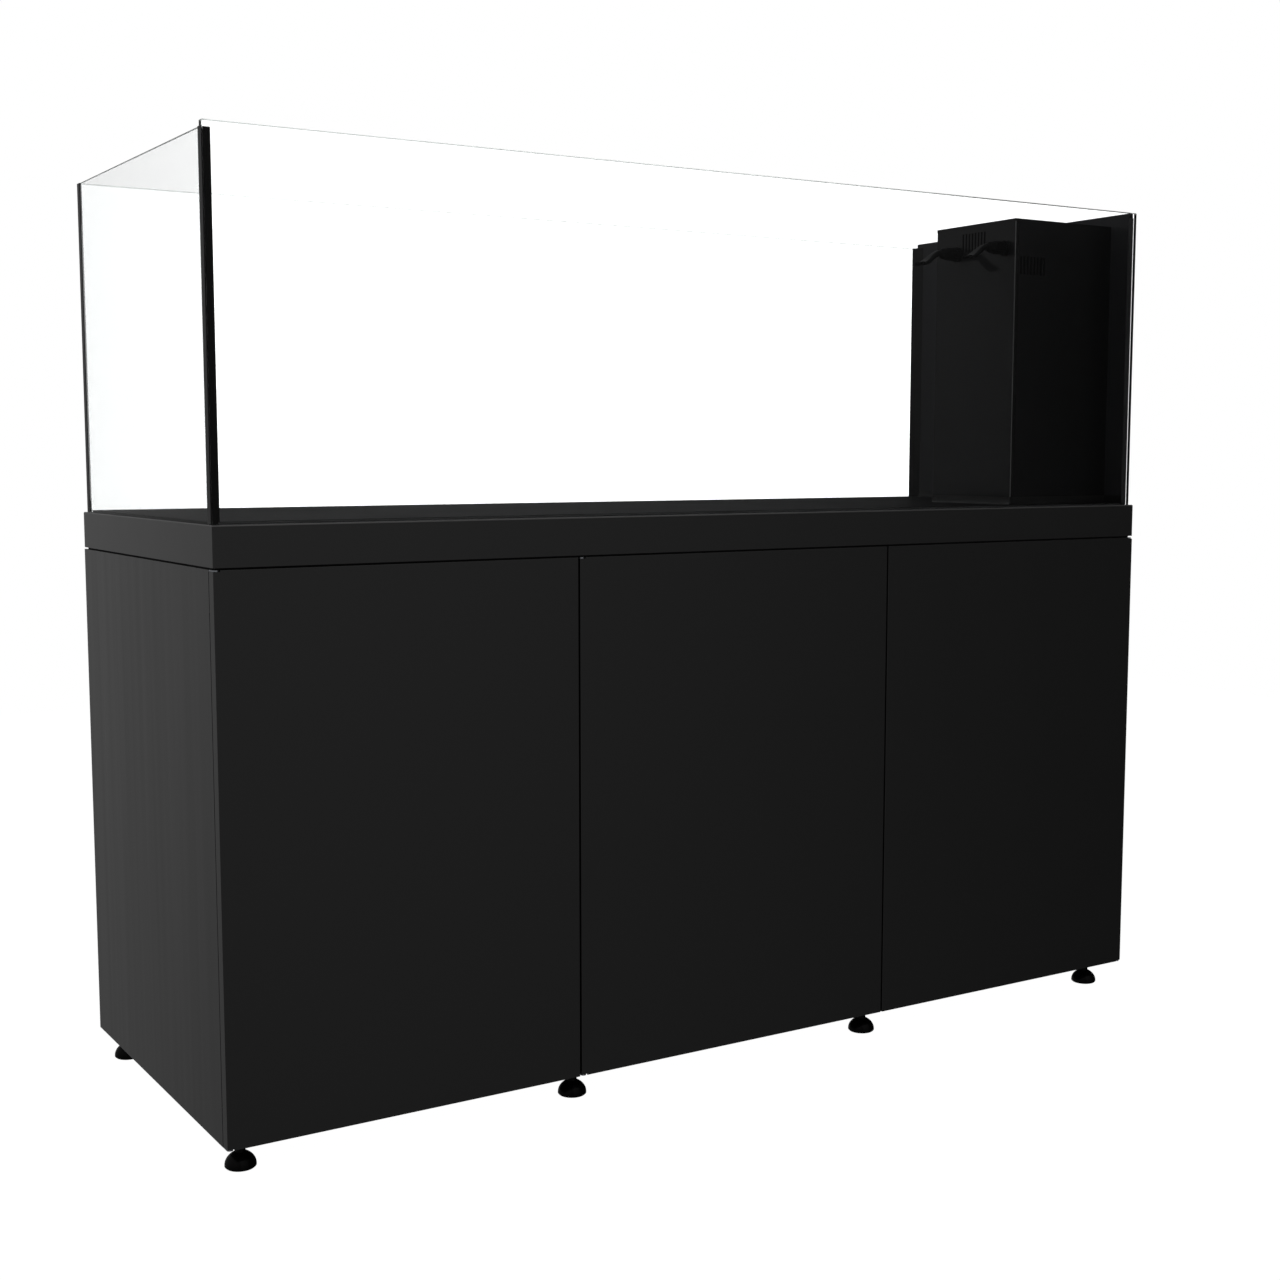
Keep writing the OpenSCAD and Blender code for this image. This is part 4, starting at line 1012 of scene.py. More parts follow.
@dataclass
class Tank:
    """The tank's panes, with ground arrises, and the silicone that holds them.

    Of each upright inner fillet only the share called kept is left, but the back right one is
    filled out to full. The silicone goes a little into the glass that it wets, and ends below the
    panes' tops. It was wiped over the faces of the front pane whose normal's X is over wiped.
    """

    arris: float = 1.0 * MM
    mitre: float = 1.5 * MM
    bead_steps: int = 6
    seam: tuple[float, float] = (3.0 * MM, 14.0 * MM)
    fillet: float = 0.8 * MM
    joint: float = 2.0 * MM
    kept: float = 0.25
    full: float = 12.0 * MM
    wet: float = 0.1 * MM
    skin_t: float = 0.5 * MM
    soft_edge: float = 0.25 * MM
    head: float = 5.0 * MM      # silicone this near the clear panes' tops is cut level
    weld: float = 0.02 * MM
    wiped: float = 0.3
    panes: dict[str, tuple[Finish, str]] = field(default_factory=lambda: {
        "front_glass": (CLEAR, "clear_glass"),
        "back_glass": (CLEAR, "clear_glass"),
        "left_glass": (CLEAR, "clear_glass"),
        "end_panel": (BLACK_GLASS, "black_glass"),
    })

    def build(self) -> None:
        """Makes the panes, the floor and the silicone."""
        for node, (finish, slot) in self.panes.items():
            self.pane(node, finish, slot)
        shape = merged("floor_pane")
        soften(shape, outline(shape), self.arris, 1)
        # The floor's front faces take the silicone painted lighter grey: painted light under the
        # front pane.
        mark(shape, 1, lambda face: face.normal.y < -TILT)
        piece(shape, "tank_floor", [FLOOR_GLASS, PAINTED_LIGHT_JOINT], "black_glass", "floor_pane", even=True)
        self.corner_seals()
        self.floor_seals()

    def pane(self, node: str, finish: Finish, slot: str) -> None:
        """Makes one pane.

        Args:
            node: The pane's node.
            finish: The finish of its faces; a clear pane's arrises get their own.
            slot: Its material slot in the record.
        """
        shape = merged(node)
        if node == "end_panel":
            corner = Vector((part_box(node)[1].x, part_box(node)[0].y))
            soften(shape, [e for e in outline(shape)
                           if all((v.co.xy - corner).length < MM for v in e.verts)],
                   self.mitre, 1)
        soften(shape, outline(shape), self.arris, 1)
        mark(shape, 1, lambda face: max(abs(part) for part in face.normal) <= LEVEL)
        if node == "front_glass":
            mark(shape, 2, lambda face: face.normal.x > self.wiped and abs(face.normal.z) < TILT)
        # A black pane's arrises and mitre take the silicone painted lighter grey: painted light.
        edge = ARRIS if finish is CLEAR else PAINTED_LIGHT_JOINT
        piece(shape, node + "_pane", [finish, edge, SILICONE], slot, node, shading=Shading.FLAT,
              even=True)

    def corner_seals(self) -> None:
        """Makes the upright silicone; what lies behind the right-hand panes is painted lighter
        grey, as painted light.
        """
        shape = merged("corner_silicone")
        self.trim(shape)
        bmesh.ops.remove_doubles(shape, verts=shape.verts[:], dist=self.weld)
        bmesh.ops.dissolve_degenerate(shape, edges=shape.edges[:], dist=self.weld)
        soften(shape, sharp_edges(shape), self.soft_edge, 2)
        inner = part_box("end_panel")[0].x
        for face in shape.faces:
            middle = face.calc_center_median()
            face.material_index = int(middle.x > (inner if middle.y > 0 else 0))
        piece(shape, "corner_seals", [SILICONE, PAINTED_LIGHT_JOINT], "black_silicone", "corner_silicone",
              even=True)

    def trim(self, shape: Shape) -> None:
        """Draws the inner fillets back, leaves the front left one and fills out the back right one.

        Args:
            shape: The corner silicone, changed in place.
        """
        left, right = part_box("left_glass")[1].x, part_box("end_panel")[0].x
        front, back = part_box("front_glass")[1].y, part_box("back_glass")[0].y
        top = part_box("left_glass")[1].z
        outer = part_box("end_panel")[1].x - self.mitre - self.skin_t
        near = self.wet
        leg = right - min(v.co.x for v in shape.verts if v.co.x > 0)
        for co in (v.co for v in shape.verts):
            if co.z > top - self.head:
                co.z = top - near
            if co.x < 0 and co.y < 0:
                continue
            if co.x > right - near:
                co.y = min(max(co.y, front), back)
                if co.y == front:
                    co.y -= self.wet
            co.x = min(co.x, outer)
            kept = self.full / leg if co.x > 0 and co.y > 0 else self.kept
            if left < co.x < 0:
                co.x = left + (co.x - left) * kept
            elif 0 < co.x < right:
                co.x = right + (co.x - right) * kept
            if left - near < co.x < right + near:
                if front < co.y < 0:
                    co.y = front + (co.y - front) * kept
                elif 0 < co.y < back:
                    co.y = back + (co.y - back) * kept

    def floor_seals(self) -> None:
        """Makes the tooled beads around the tank's floor and around the overflow box's foot."""
        shape = bmesh.new()
        low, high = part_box("floor_silicone")
        box_low, box_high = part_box("weir_face")[0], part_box("weir_back")[1]
        z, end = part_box("floor_pane")[1].z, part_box("end_panel")[0].x
        front, back = low.y + self.joint, high.y - self.joint
        thin, wide = (self.fillet, self.fillet), self.seam
        for ends, away, size in (
                (((low.x, low.y), (end, low.y)), (0, 1, 0), thin),
                (((low.x, high.y), (end, high.y)), (0, -1, 0), thin),
                (((low.x, front), (low.x, back)), (1, 0, 0), thin),
                (((box_low.x, box_low.y), (end, box_low.y)), (0, -1, 0), wide),
                (((box_low.x, box_high.y), (end, box_high.y)), (0, 1, 0), wide),
                (((box_low.x, box_low.y), (box_low.x, box_high.y)), (-1, 0, 0), wide),
                (((end, front), (end, box_low.y)), (-1, 0, 0), wide),
                (((end, box_high.y), (end, back)), (-1, 0, 0), wide)):
            self.bead(shape, [Vector((x, y, z)) for x, y in ends], Vector(away), *size)
        piece(outward(shape), "floor_seals", [SILICONE], "black_silicone", "floor_silicone",
              shading=Shading.SWEPT)

    def bead(self, shape: Shape, ends: Sequence[Vector], away: Vector, wide: float,
             tall: float) -> None:
        """Adds a bead of silicone in the angle between the floor and a wall, tooled hollow.

        Args:
            shape: The mesh under construction.
            ends: The two ends of the angle.
            away: The way from the wall out over the floor.
            wide: Its reach over the floor.
            tall: Its reach up the wall.
        """
        turns = [math.pi / 2 * i / self.bead_steps for i in range(1, self.bead_steps)]
        section = [(0.0, 0.0), (wide, 0.0)]
        section += [(wide * (1 - math.sin(a)), tall * (1 - math.cos(a))) for a in turns]
        section.append((0.0, tall))
        rings = [[shape.verts.new(end + away * w + Vector((0, 0, h))) for w, h in section]
                 for end in ends]
        skin(shape, rings)
        for ring in rings:
            shape.faces.new(ring)


@dataclass
class OverflowBox:
    """The black acrylic box at the tank's end, with its two return nozzles."""

    edge: float = 0.35 * MM
    corner: float = 1.2 * MM
    tall: float = 100.0 * MM    # an edge longer than this up the box is a corner
    diagonal: float = 0.6       # a normal with more than this along X and along Y is a bevel's

    def build(self) -> None:
        """Makes the box's walls, its cover and the nozzles."""
        for node in ("weir_face", "weir_front", "weir_back"):
            self.wall(node)
        eased("weir_cover", "weir_cover_lid", ACRYLIC, "black_acrylic", self.edge, 2,
              body="weir_cover")
        for side in ("front", "back"):
            Nozzle(side).build()
        NozzleBases().build()

    def wall(self, node: str) -> None:
        """Makes one wall; the face wall's upright corners, outside the joints, are bevelled and
        painted light grey as a painted highlight.

        Args:
            node: The wall's node.
        """
        shape = merged(node)
        if node == "weir_face":
            upright_edges = [e for e in outline(shape)
                             if abs(e.verts[0].co.z - e.verts[1].co.z) > self.tall]
            soften(shape, upright_edges, self.corner, 1)
        # Bevel faces take the light grey acrylic: a painted highlight.
        mark(shape, 1, lambda face: min(abs(face.normal.x), abs(face.normal.y)) > self.diagonal)
        piece(shape, node + "_wall", [ACRYLIC, PAINTED_CORNER_HIGHLIGHT], "black_acrylic", node,
              shading=Shading.FLAT, even=True)


@dataclass
class NozzleBases:
    """What is fixed in the box's wall for each nozzle: flange, neck, threaded tail and nut."""

    flange_r: float = 14.0 * MM
    flange_t: float = 6.5 * MM
    neck_r: float = 7.5 * MM
    tail_r: float = 9.0 * MM
    bore_r: float = 5.0 * MM
    wall: float = 8.0 * MM
    nut_t: float = 6.5 * MM
    nut_edge: float = 0.5 * MM
    nut_sides: int = 6
    pitch: float = 2.0 * MM
    ridge: float = 0.5 * MM
    thread_gap: float = 0.5 * MM
    rounds: tuple[float, ...] = (0.5 * MM, 0.0, 0.3 * MM, 1.2 * MM, 0.6 * MM, 0.4 * MM)

    def build(self) -> None:
        """Makes both bases in one piece."""
        low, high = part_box("nozzle_bases")
        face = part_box("weir_face")[0].x
        thread = thread_tree(MOULDED_PVC)
        shape = bmesh.new()
        for side in ("front", "back"):
            middle = joint_point(f"nozzle_{side}_swivel")
            place = along_x(Vector((face, middle.y, middle.z)))
            neck, tail = face - low.x, face - high.x
            outer = rounded([(self.bore_r, tail), (self.tail_r, tail), (self.tail_r, 0.0),
                             (self.flange_r, 0.0), (self.flange_r, self.flange_t),
                             (self.neck_r, self.flange_t), (self.neck_r, neck),
                             (self.bore_r, neck)], self.rounds)
            lathe(shape, outer + [(self.bore_r, neck), (self.bore_r, tail)], place, closed=True)
            self.nut(shape, place)
            length = high.x - face - self.wall - self.nut_t - self.thread_gap
            grow(shape, thread, {"Turns": length / self.pitch, "Radius": self.tail_r,
                                 "Height": length, "Depth": self.ridge},
                 along_x(Vector((high.x, middle.y, middle.z))))
        piece(shape, "nozzle_base_fittings", [MOULDED_PVC], "black_pvc", "nozzle_bases",
              shading=Shading.FORMED)

    def nut(self, shape: Shape, place: Matrix) -> None:
        """Adds the hexagon nut inside the wall.

        Args:
            shape: The mesh under construction.
            place: The fitting's place, with the wall's outer face at Z = 0.
        """
        start = -self.wall - self.nut_t
        made = bmesh.new()
        lathe(made, [(0.0, start), (self.flange_r, start), (self.flange_r, -self.wall),
                     (0.0, -self.wall)], Matrix.Identity(4), self.nut_sides)
        outward(made)
        soften(made, sharp_edges(made), self.nut_edge, 2)
        made.transform(place)
        mesh = bpy.data.meshes.new("nut")
        made.to_mesh(mesh)
        made.free()
        shape.from_mesh(mesh)
        bpy.data.meshes.remove(mesh)


@dataclass
class Nozzle:
    """One return nozzle: a ribbed collar that swivels, and a ball with a spout that tilts."""

    side: str
    collar_r: float = 11.0 * MM
    rib_r: float = 0.95 * MM
    ribs: int = 18
    grip_start: float = 1.0 * MM
    grip_end: float = 1.2 * MM
    cup_r: float = 10.5 * MM
    cup_taper: float = 1.3 * MM
    cup_turn: float = 1.5 * MM
    mouth: float = 3.4 * MM
    play: float = 0.3 * MM      # between the ball and its socket
    cup_steps: int = 8
    rounds: tuple[float, ...] = (1.0 * MM, 0.4 * MM, 0.1 * MM, 2.5 * MM, 0.7 * MM)
    ball_r: float = 8.5 * MM
    tube_r: float = 7.5 * MM
    neck_r: float = 6.4 * MM
    root: float = 0.7           # where the duct starts, as a share of the ball's radius
    length: float = 54.0 * MM
    drop: float = 22.0 * MM
    mouth_w: float = 28.0 * MM
    mouth_h: float = 7.0 * MM
    wall: float = 2.0 * MM
    lip: float = 0.35 * MM
    lip_rise: float = 22.0      # how soon, before the mouth, the lip swells
    widening: float = 0.35      # the share of the widening that is even along the duct
    flattening: float = 2.2     # the power that the duct's flattening eases off by
    least_side: float = 0.05 * MM
    stations: int = 32
    bore_from: int = 8          # the station where the open bore ends
    half_steps: int = 16

    def build(self) -> None:
        """Makes the collar and the spout, each on its own body."""
        centre = joint_point(f"nozzle_{self.side}_tilt")
        self.collar(f"nozzle_collar_{self.side}", centre)
        self.spout(f"nozzle_spout_{self.side}", centre)

    def collar(self, node: str, centre: Vector) -> None:
        """Makes the collar: a turned cup with a bead at each end and ribs to grip.

        Args:
            node: Its node, which is its body's name too.
            centre: The centre of the ball that it holds.
        """
        place = along_x(centre)
        back, front = centre.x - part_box(node)[1].x, self.mouth
        socket, bore = self.ball_r + self.play, self.tube_r + self.play
        lip = math.sqrt(socket ** 2 - front ** 2)
        deep = -math.sqrt(socket ** 2 - bore ** 2)
        outer = rounded([(bore, back), (self.collar_r, back), (self.collar_r, -self.ball_r),
                         (self.cup_r, -self.ball_r), (self.cup_r, -self.cup_turn),
                         (self.cup_r - self.cup_taper, front), (lip, front)], self.rounds, 4)
        start, end = math.atan2(front, lip), math.atan2(deep, bore)
        turns = [start + (end - start) * i / self.cup_steps for i in range(1, self.cup_steps + 1)]
        shape = bmesh.new()
        lathe(shape, outer + [(socket * math.cos(a), socket * math.sin(a)) for a in turns], place,
              FINE, closed=True)
        grip = -back - self.ball_r - self.grip_start - self.grip_end
        grow(shape, rib_ring_tree(MOULDED_PVC),
             {"Ribs": self.ribs, "Ring radius": self.collar_r, "Rib radius": self.rib_r,
              "Rib length": grip}, place @ raised(back + self.grip_start + grip / 2))
        piece(shape, node + "_ribbed", [MOULDED_PVC], "black_pvc", node, body=node,
              shading=Shading.SWEPT)

    def spout(self, node: str, centre: Vector) -> None:
        """Makes the ball, the neck and the flattened duct with its open mouth.

        Args:
            node: Its node, which is its body's name too.
            centre: The ball's centre.
        """
        shape = bmesh.new()
        lathe(shape, ball(self.ball_r, SMALL // 2), along_x(centre), SMALL)
        count = self.stations
        outer = [self.section(shape, centre, i / count, 0.0) for i in range(count + 1)]
        inner = [self.section(shape, centre, i / count, self.wall)
                 for i in range(count, self.bore_from, -1)]
        skin(shape, outer + inner)
        shape.faces.new(outer[0])
        shape.faces.new(inner[-1])
        piece(outward(shape), node + "_duckbill", [MOULDED_PVC], "black_pvc", node, body=node,
              shading=Shading.SWEPT)

    def section(self, shape: Shape, centre: Vector, t: float, wall: float) -> list[Vert]:
        """Adds one cross-section of the duct, from round at the neck to flat at the mouth.

        Args:
            shape: The mesh under construction.
            centre: The ball's centre.
            t: Its place along the duct, from 0 at the neck to 1 at the mouth. The duct falls
                along the smooth step of t.
            wall: How far it stands in from the outside.

        Returns:
            The section's vertices.
        """
        start = self.ball_r * self.root
        run = self.length - start
        ease, steepness = t * t * (3 - 2 * t), 6 * t * (1 - t)
        wider = self.widening * t + (1 - self.widening) * ease
        flatter = 1 - (1 - t) ** self.flattening
        grown_by = -wall if wall else self.lip * max(0.0, 1 - (1 - t) * self.lip_rise)
        half_w = self.neck_r + (self.mouth_w / 2 - self.neck_r) * wider + grown_by
        half_h = self.neck_r + (self.mouth_h / 2 - self.neck_r) * flatter + grown_by
        side = max(half_w - half_h, self.least_side)
        slope = math.atan2(self.drop * steepness, run)
        made = []
        for half in (0, 1):
            for i in range(self.half_steps + 1):
                turn = math.radians(-90 + 180 * (half + i / self.half_steps))
                across = half_h * math.cos(turn) + (-side if half else side)
                up = half_h * math.sin(turn)
                away = Vector((-start - run * t - up * math.sin(slope), across,
                               -self.drop * ease + up * math.cos(slope)))
                made.append(shape.verts.new(centre + away))
        return made


@dataclass
class LevellingFeet:
    """Eight levelling feet: a domed pad with a rubber sole, a collar and a threaded screw.

    The pad's and the sole's edges are given as steps in from the pad's radius and up from the
    sole's top or from the floor.
    """

    pad_r: float = 23.0 * MM
    pad_edge: tuple[tuple[float, float], ...] = ((1.6 * MM, 0.0), (0.5 * MM, 0.3 * MM),
                                                 (0.0, 1.0 * MM))
    sole_edge: tuple[tuple[float, float], ...] = ((2.2 * MM, 0.0), (1.7 * MM, 0.4 * MM))
    rim_h: float = 4.0 * MM
    dome_h: float = 19.0 * MM
    dome_bend: float = 1.5      # the power of the cosine that the dome follows
    dome_steps: int = 12
    collar_r: float = 7.5 * MM
    collar_h: float = 5.0 * MM
    screw_r: float = 5.0 * MM
    tip: float = 1.0 * MM
    rounds: tuple[float, ...] = (0.8 * MM, 0.3 * MM, 0.2 * MM, 0.2 * MM)
    pitch: float = 1.5 * MM
    ridge: float = 0.45 * MM
    sunk: float = 0.35 * MM     # how deep the thread's ridge sits in the screw
    runout: float = 1.5 * MM
    sole: float = 1.2 * MM
    lap: float = 0.1 * MM
    per_row: int = 4

    def build(self) -> None:
        """Makes each foot on its own body."""
        thread = thread_tree(NYLON)
        for row in ("front", "back"):
            for number in range(1, self.per_row + 1):
                self.foot(f"foot_{row}_{number}", thread)

    def foot(self, node: str, thread: Tree) -> None:
        """Makes one foot.

        Args:
            node: Its node, which is its body's name too.
            thread: The tree that makes its screw thread.
        """
        low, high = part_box(node)
        place = upright((low, high), low.z)
        top = self.rim_h + self.dome_h + self.collar_h
        turns = [math.pi / 2 * i / self.dome_steps for i in range(self.dome_steps + 1)]
        flare = self.pad_r - self.collar_r
        dome = [(self.collar_r + flare * max(math.cos(a), 0.0) ** self.dome_bend,
                 self.rim_h + self.dome_h * math.sin(a)) for a in turns]
        pad = [(self.pad_r - inward, self.sole + up) for inward, up in self.pad_edge]
        neck = rounded([dome[-1], (self.collar_r, top), (self.screw_r, top),
                        (self.screw_r, high.z - self.tip), (self.screw_r - self.tip, high.z),
                        (0.0, high.z)], self.rounds)
        shape = bmesh.new()
        lathe(shape, [(0.0, self.sole)] + pad + dome + neck[1:], place, FINE)
        sole = [(self.pad_r - inward, up) for inward, up in self.sole_edge]
        buried = self.sole + self.lap
        lathe(shape, [(0.0, 0.0)] + sole + [(sole[-1][0], buried), (0.0, buried)], place, FINE, 1)
        outward(shape)
        length = high.z - low.z - top - self.runout
        grow(shape, thread, {"Turns": length / self.pitch, "Radius": self.screw_r - self.sunk,
                             "Height": length, "Depth": self.ridge}, place @ raised(top))
        piece(shape, node + "_levelling", [NYLON, RUBBER], "foot_nylon", node, body=node,
              shading=Shading.DOMED)


@dataclass
class Pipework:
    """The pipes, bulkheads and valve between the overflow box and the sump."""

    wall: float = 2.5 * MM
    cut_edge: float = 0.5 * MM
    pipe_r: float = 12.5 * MM
    bend: float = 22.0 * MM
    bend_steps: int = 8
    elbow_r: float = 14.3 * MM
    socket_r: float = 15.5 * MM
    socket_l: float = 34.0 * MM
    socket_lap: float = 1.0 * MM
    run_share: float = 0.9      # of a socket, kept clear where the level run is measured
    flange_t: float = 8.0 * MM
    flange_w: float = 9.0 * MM
    sleeve_t: float = 4.0 * MM
    sleeve_rounds: tuple[float, ...] = (0.4 * MM, 0.5 * MM, 0.4 * MM, 2.0 * MM)
    nut_low: float = 4.0 * MM
    nut_h: float = 12.0 * MM
    nut_in: float = 2.0 * MM
    nut_round: float = 1.0 * MM
    nut_rib_in: float = 2.2 * MM
    nut_rib_r: float = 1.8 * MM
    nut_ribs: int = 16
    grip: float = 50.0 * MM
    grip_round: float = 1.6 * MM

    def build(self) -> None:
        """Makes the pipes and fittings."""
        self.drains()
        self.return_line()
        self.bulkheads()
        Valve().build()
        shape = merged("valve_lever")
        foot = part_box("valve_lever")[1].z - self.grip
        soften(shape, [e for e in sharp_edges(shape) if all(v.co.z > foot for v in e.verts)],
               self.grip_round)
        piece(shape, "valve_lever_dipped", [RED_VINYL], "red_vinyl", "valve_lever",
              body="valve_lever", shading=Shading.FORMED, even=True)

    def drains(self) -> None:
        """Makes the straight drain pipes, with their cut ends eased."""
        shape = bmesh.new()
        for low, high in loose_boxes("drain_pipes"):
            r, ease = (high.x - low.x) / 2, self.cut_edge
            bore = r - self.wall
            lathe(shape, [(bore, low.z), (r - ease, low.z), (r, low.z + ease), (r, high.z - ease),
                          (r - ease, high.z), (bore, high.z)], upright((low, high)), SMALL,
                  closed=True)
        piece(shape, "drain_pipes_drawn", [GREY_PVC], "grey_pvc", "drain_pipes",
              shading=Shading.FORMED)

    def return_line(self) -> None:
        """Makes the return: swept pipe, socketed elbows and the tee behind the nozzles."""
        shape = bmesh.new()
        low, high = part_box("return_pipe")
        pump, riser, y = low.x + self.socket_r, high.x - self.socket_r, (low.y + high.y) / 2
        source, clear = merged("return_pipe"), self.socket_l * self.run_share
        between = box_of(v for v in source.verts if pump + clear < v.co.x < riser - clear)
        run = sum(corner.z for corner in between) / 2
        source.free()
        top, bore = high.z - self.socket_r, self.pipe_r - self.wall
        corners = [Vector(p) for p in ((pump, y, low.z), (pump, y, run), (riser, y, run),
                                       (riser, y, top))]
        tube(shape, rounded(corners, self.bend, self.bend_steps), self.pipe_r, bore)
        for before, corner, after in zip(corners, corners[1:], corners[2:]):
            ways = [(before - corner).normalized(), (after - corner).normalized()]
            ends = [corner + way * self.socket_l for way in ways]
            tube(shape, rounded([ends[0], corner, ends[1]], self.bend, self.bend_steps),
                 self.elbow_r, self.pipe_r)
            for end, way in zip(ends, ways):
                tube(shape, [end, end - way * (self.socket_l - self.bend - self.socket_lap)],
                     self.socket_r, self.pipe_r)
        across = Vector((0, high.y - low.y - 2 * self.pipe_r, 0)) / 2
        middle = corners[-1]
        bar(shape, middle, across, self.pipe_r, bore)
        bar(shape, middle, Vector((0, self.socket_l, 0)), self.socket_r, self.pipe_r)
        tube(shape, [middle - Vector((0, 0, self.socket_l)), middle], self.socket_r, self.pipe_r)
        for end in (middle - across, middle + across):
            lathe(shape, ball(self.pipe_r, COARSE // 2), Matrix.Translation(end), COARSE)
            tube(shape, [end, end - Vector((self.socket_r, 0, 0))], self.pipe_r, bore)
        piece(outward(shape), "return_pipe_swept", [GREY_PVC], "grey_pvc", "return_pipe",
              shading=Shading.FORMED)

    def bulkheads(self) -> None:
        """Makes each bulkhead: flange and sleeve in one, and a ribbed nut under the deck."""
        shape = bmesh.new()
        ribs = rib_ring_tree(MOULDED_PVC)
        for low, high in loose_boxes("bulkheads"):
            r = (high.x - low.x) / 2
            sleeve, under = r - self.flange_w, high.z - self.flange_t
            bore, place = sleeve - self.sleeve_t, upright((low, high))
            lathe(shape, rounded([(bore, low.z), (sleeve, low.z), (sleeve, under), (r, under),
                                  (r, high.z), (bore, high.z)], self.sleeve_rounds), place,
                  closed=True)
            foot, nut = low.z + self.nut_low, r - self.nut_in
            head = foot + self.nut_h
            lathe(shape, rounded([(sleeve, foot), (nut, foot), (nut, head), (sleeve, head)],
                                 self.nut_round), place, closed=True)
            grow(shape, ribs, {"Ribs": self.nut_ribs, "Ring radius": r - self.nut_rib_in,
                               "Rib radius": self.nut_rib_r,
                               "Rib length": self.nut_h - 2 * self.nut_round},
                 place @ raised((foot + head) / 2))
        piece(shape, "bulkheads_moulded", [MOULDED_PVC], "black_pvc", "bulkheads",
              shading=Shading.FORMED)


@dataclass
class Valve:
    """The ball valve's body, which stands on one drain and lets its pipe through."""

    bore: float = 16.1 * MM
    ball_r: float = 15.3 * MM
    seat: float = 19.0 * MM
    nut_in: float = 1.2 * MM
    nut_round: float = 1.5 * MM
    nut_share: float = 0.5      # of the valve's half length, up to where a nut reaches
    rib_r: float = 1.2 * MM
    ribs: int = 20
    rib_short: float = 5.0 * MM
    barrel_in: float = 4.0 * MM
    neck_in: float = 0.5 * MM
    lap: float = 1.0 * MM
    boss_r: float = 10.0 * MM
    boss_lap: float = 1.5 * MM
    stem_r: float = 4.3 * MM

    def build(self) -> None:
        """Makes the two ribbed union nuts, the barrel and the stem's boss."""
        shape = bmesh.new()
        low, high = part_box("valve_body")
        r, half = (high.x - low.x) / 2, (high.z - low.z) / 2
        middle = Vector(((low.x + high.x) / 2, high.y - r, (low.z + high.z) / 2))
        place, ribs = Matrix.Translation(middle), rib_ring_tree(GREY_PVC)
        nut, barrel, reach = r - self.nut_in, r - self.barrel_in, half * self.nut_share
        for side in (-1, 1):
            lathe(shape, rounded([(self.bore, side * reach), (nut, side * reach),
                                  (nut, side * half), (self.bore, side * half)],
                                 self.nut_round), place, closed=True)
            grow(shape, ribs, {"Ribs": self.ribs, "Ring radius": nut, "Rib radius": self.rib_r,
                               "Rib length": half - reach - self.rib_short},
                 place @ raised(side * (half + reach) / 2))
            tube(shape, [middle + Vector((0, 0, side * z)) for z in (self.seat, reach + self.lap)],
                 barrel - self.neck_in, self.bore)
        bar(shape, middle, Vector((0, 0, self.seat)), barrel, self.ball_r, SIDES)
        tube(shape, [middle - Vector((0, barrel - self.boss_lap, 0)),
                     Vector((middle.x, low.y, middle.z))], self.boss_r, self.stem_r)
        piece(outward(shape), "valve_body_moulded", [GREY_PVC], "grey_pvc", "valve_body",
              shading=Shading.FORMED)


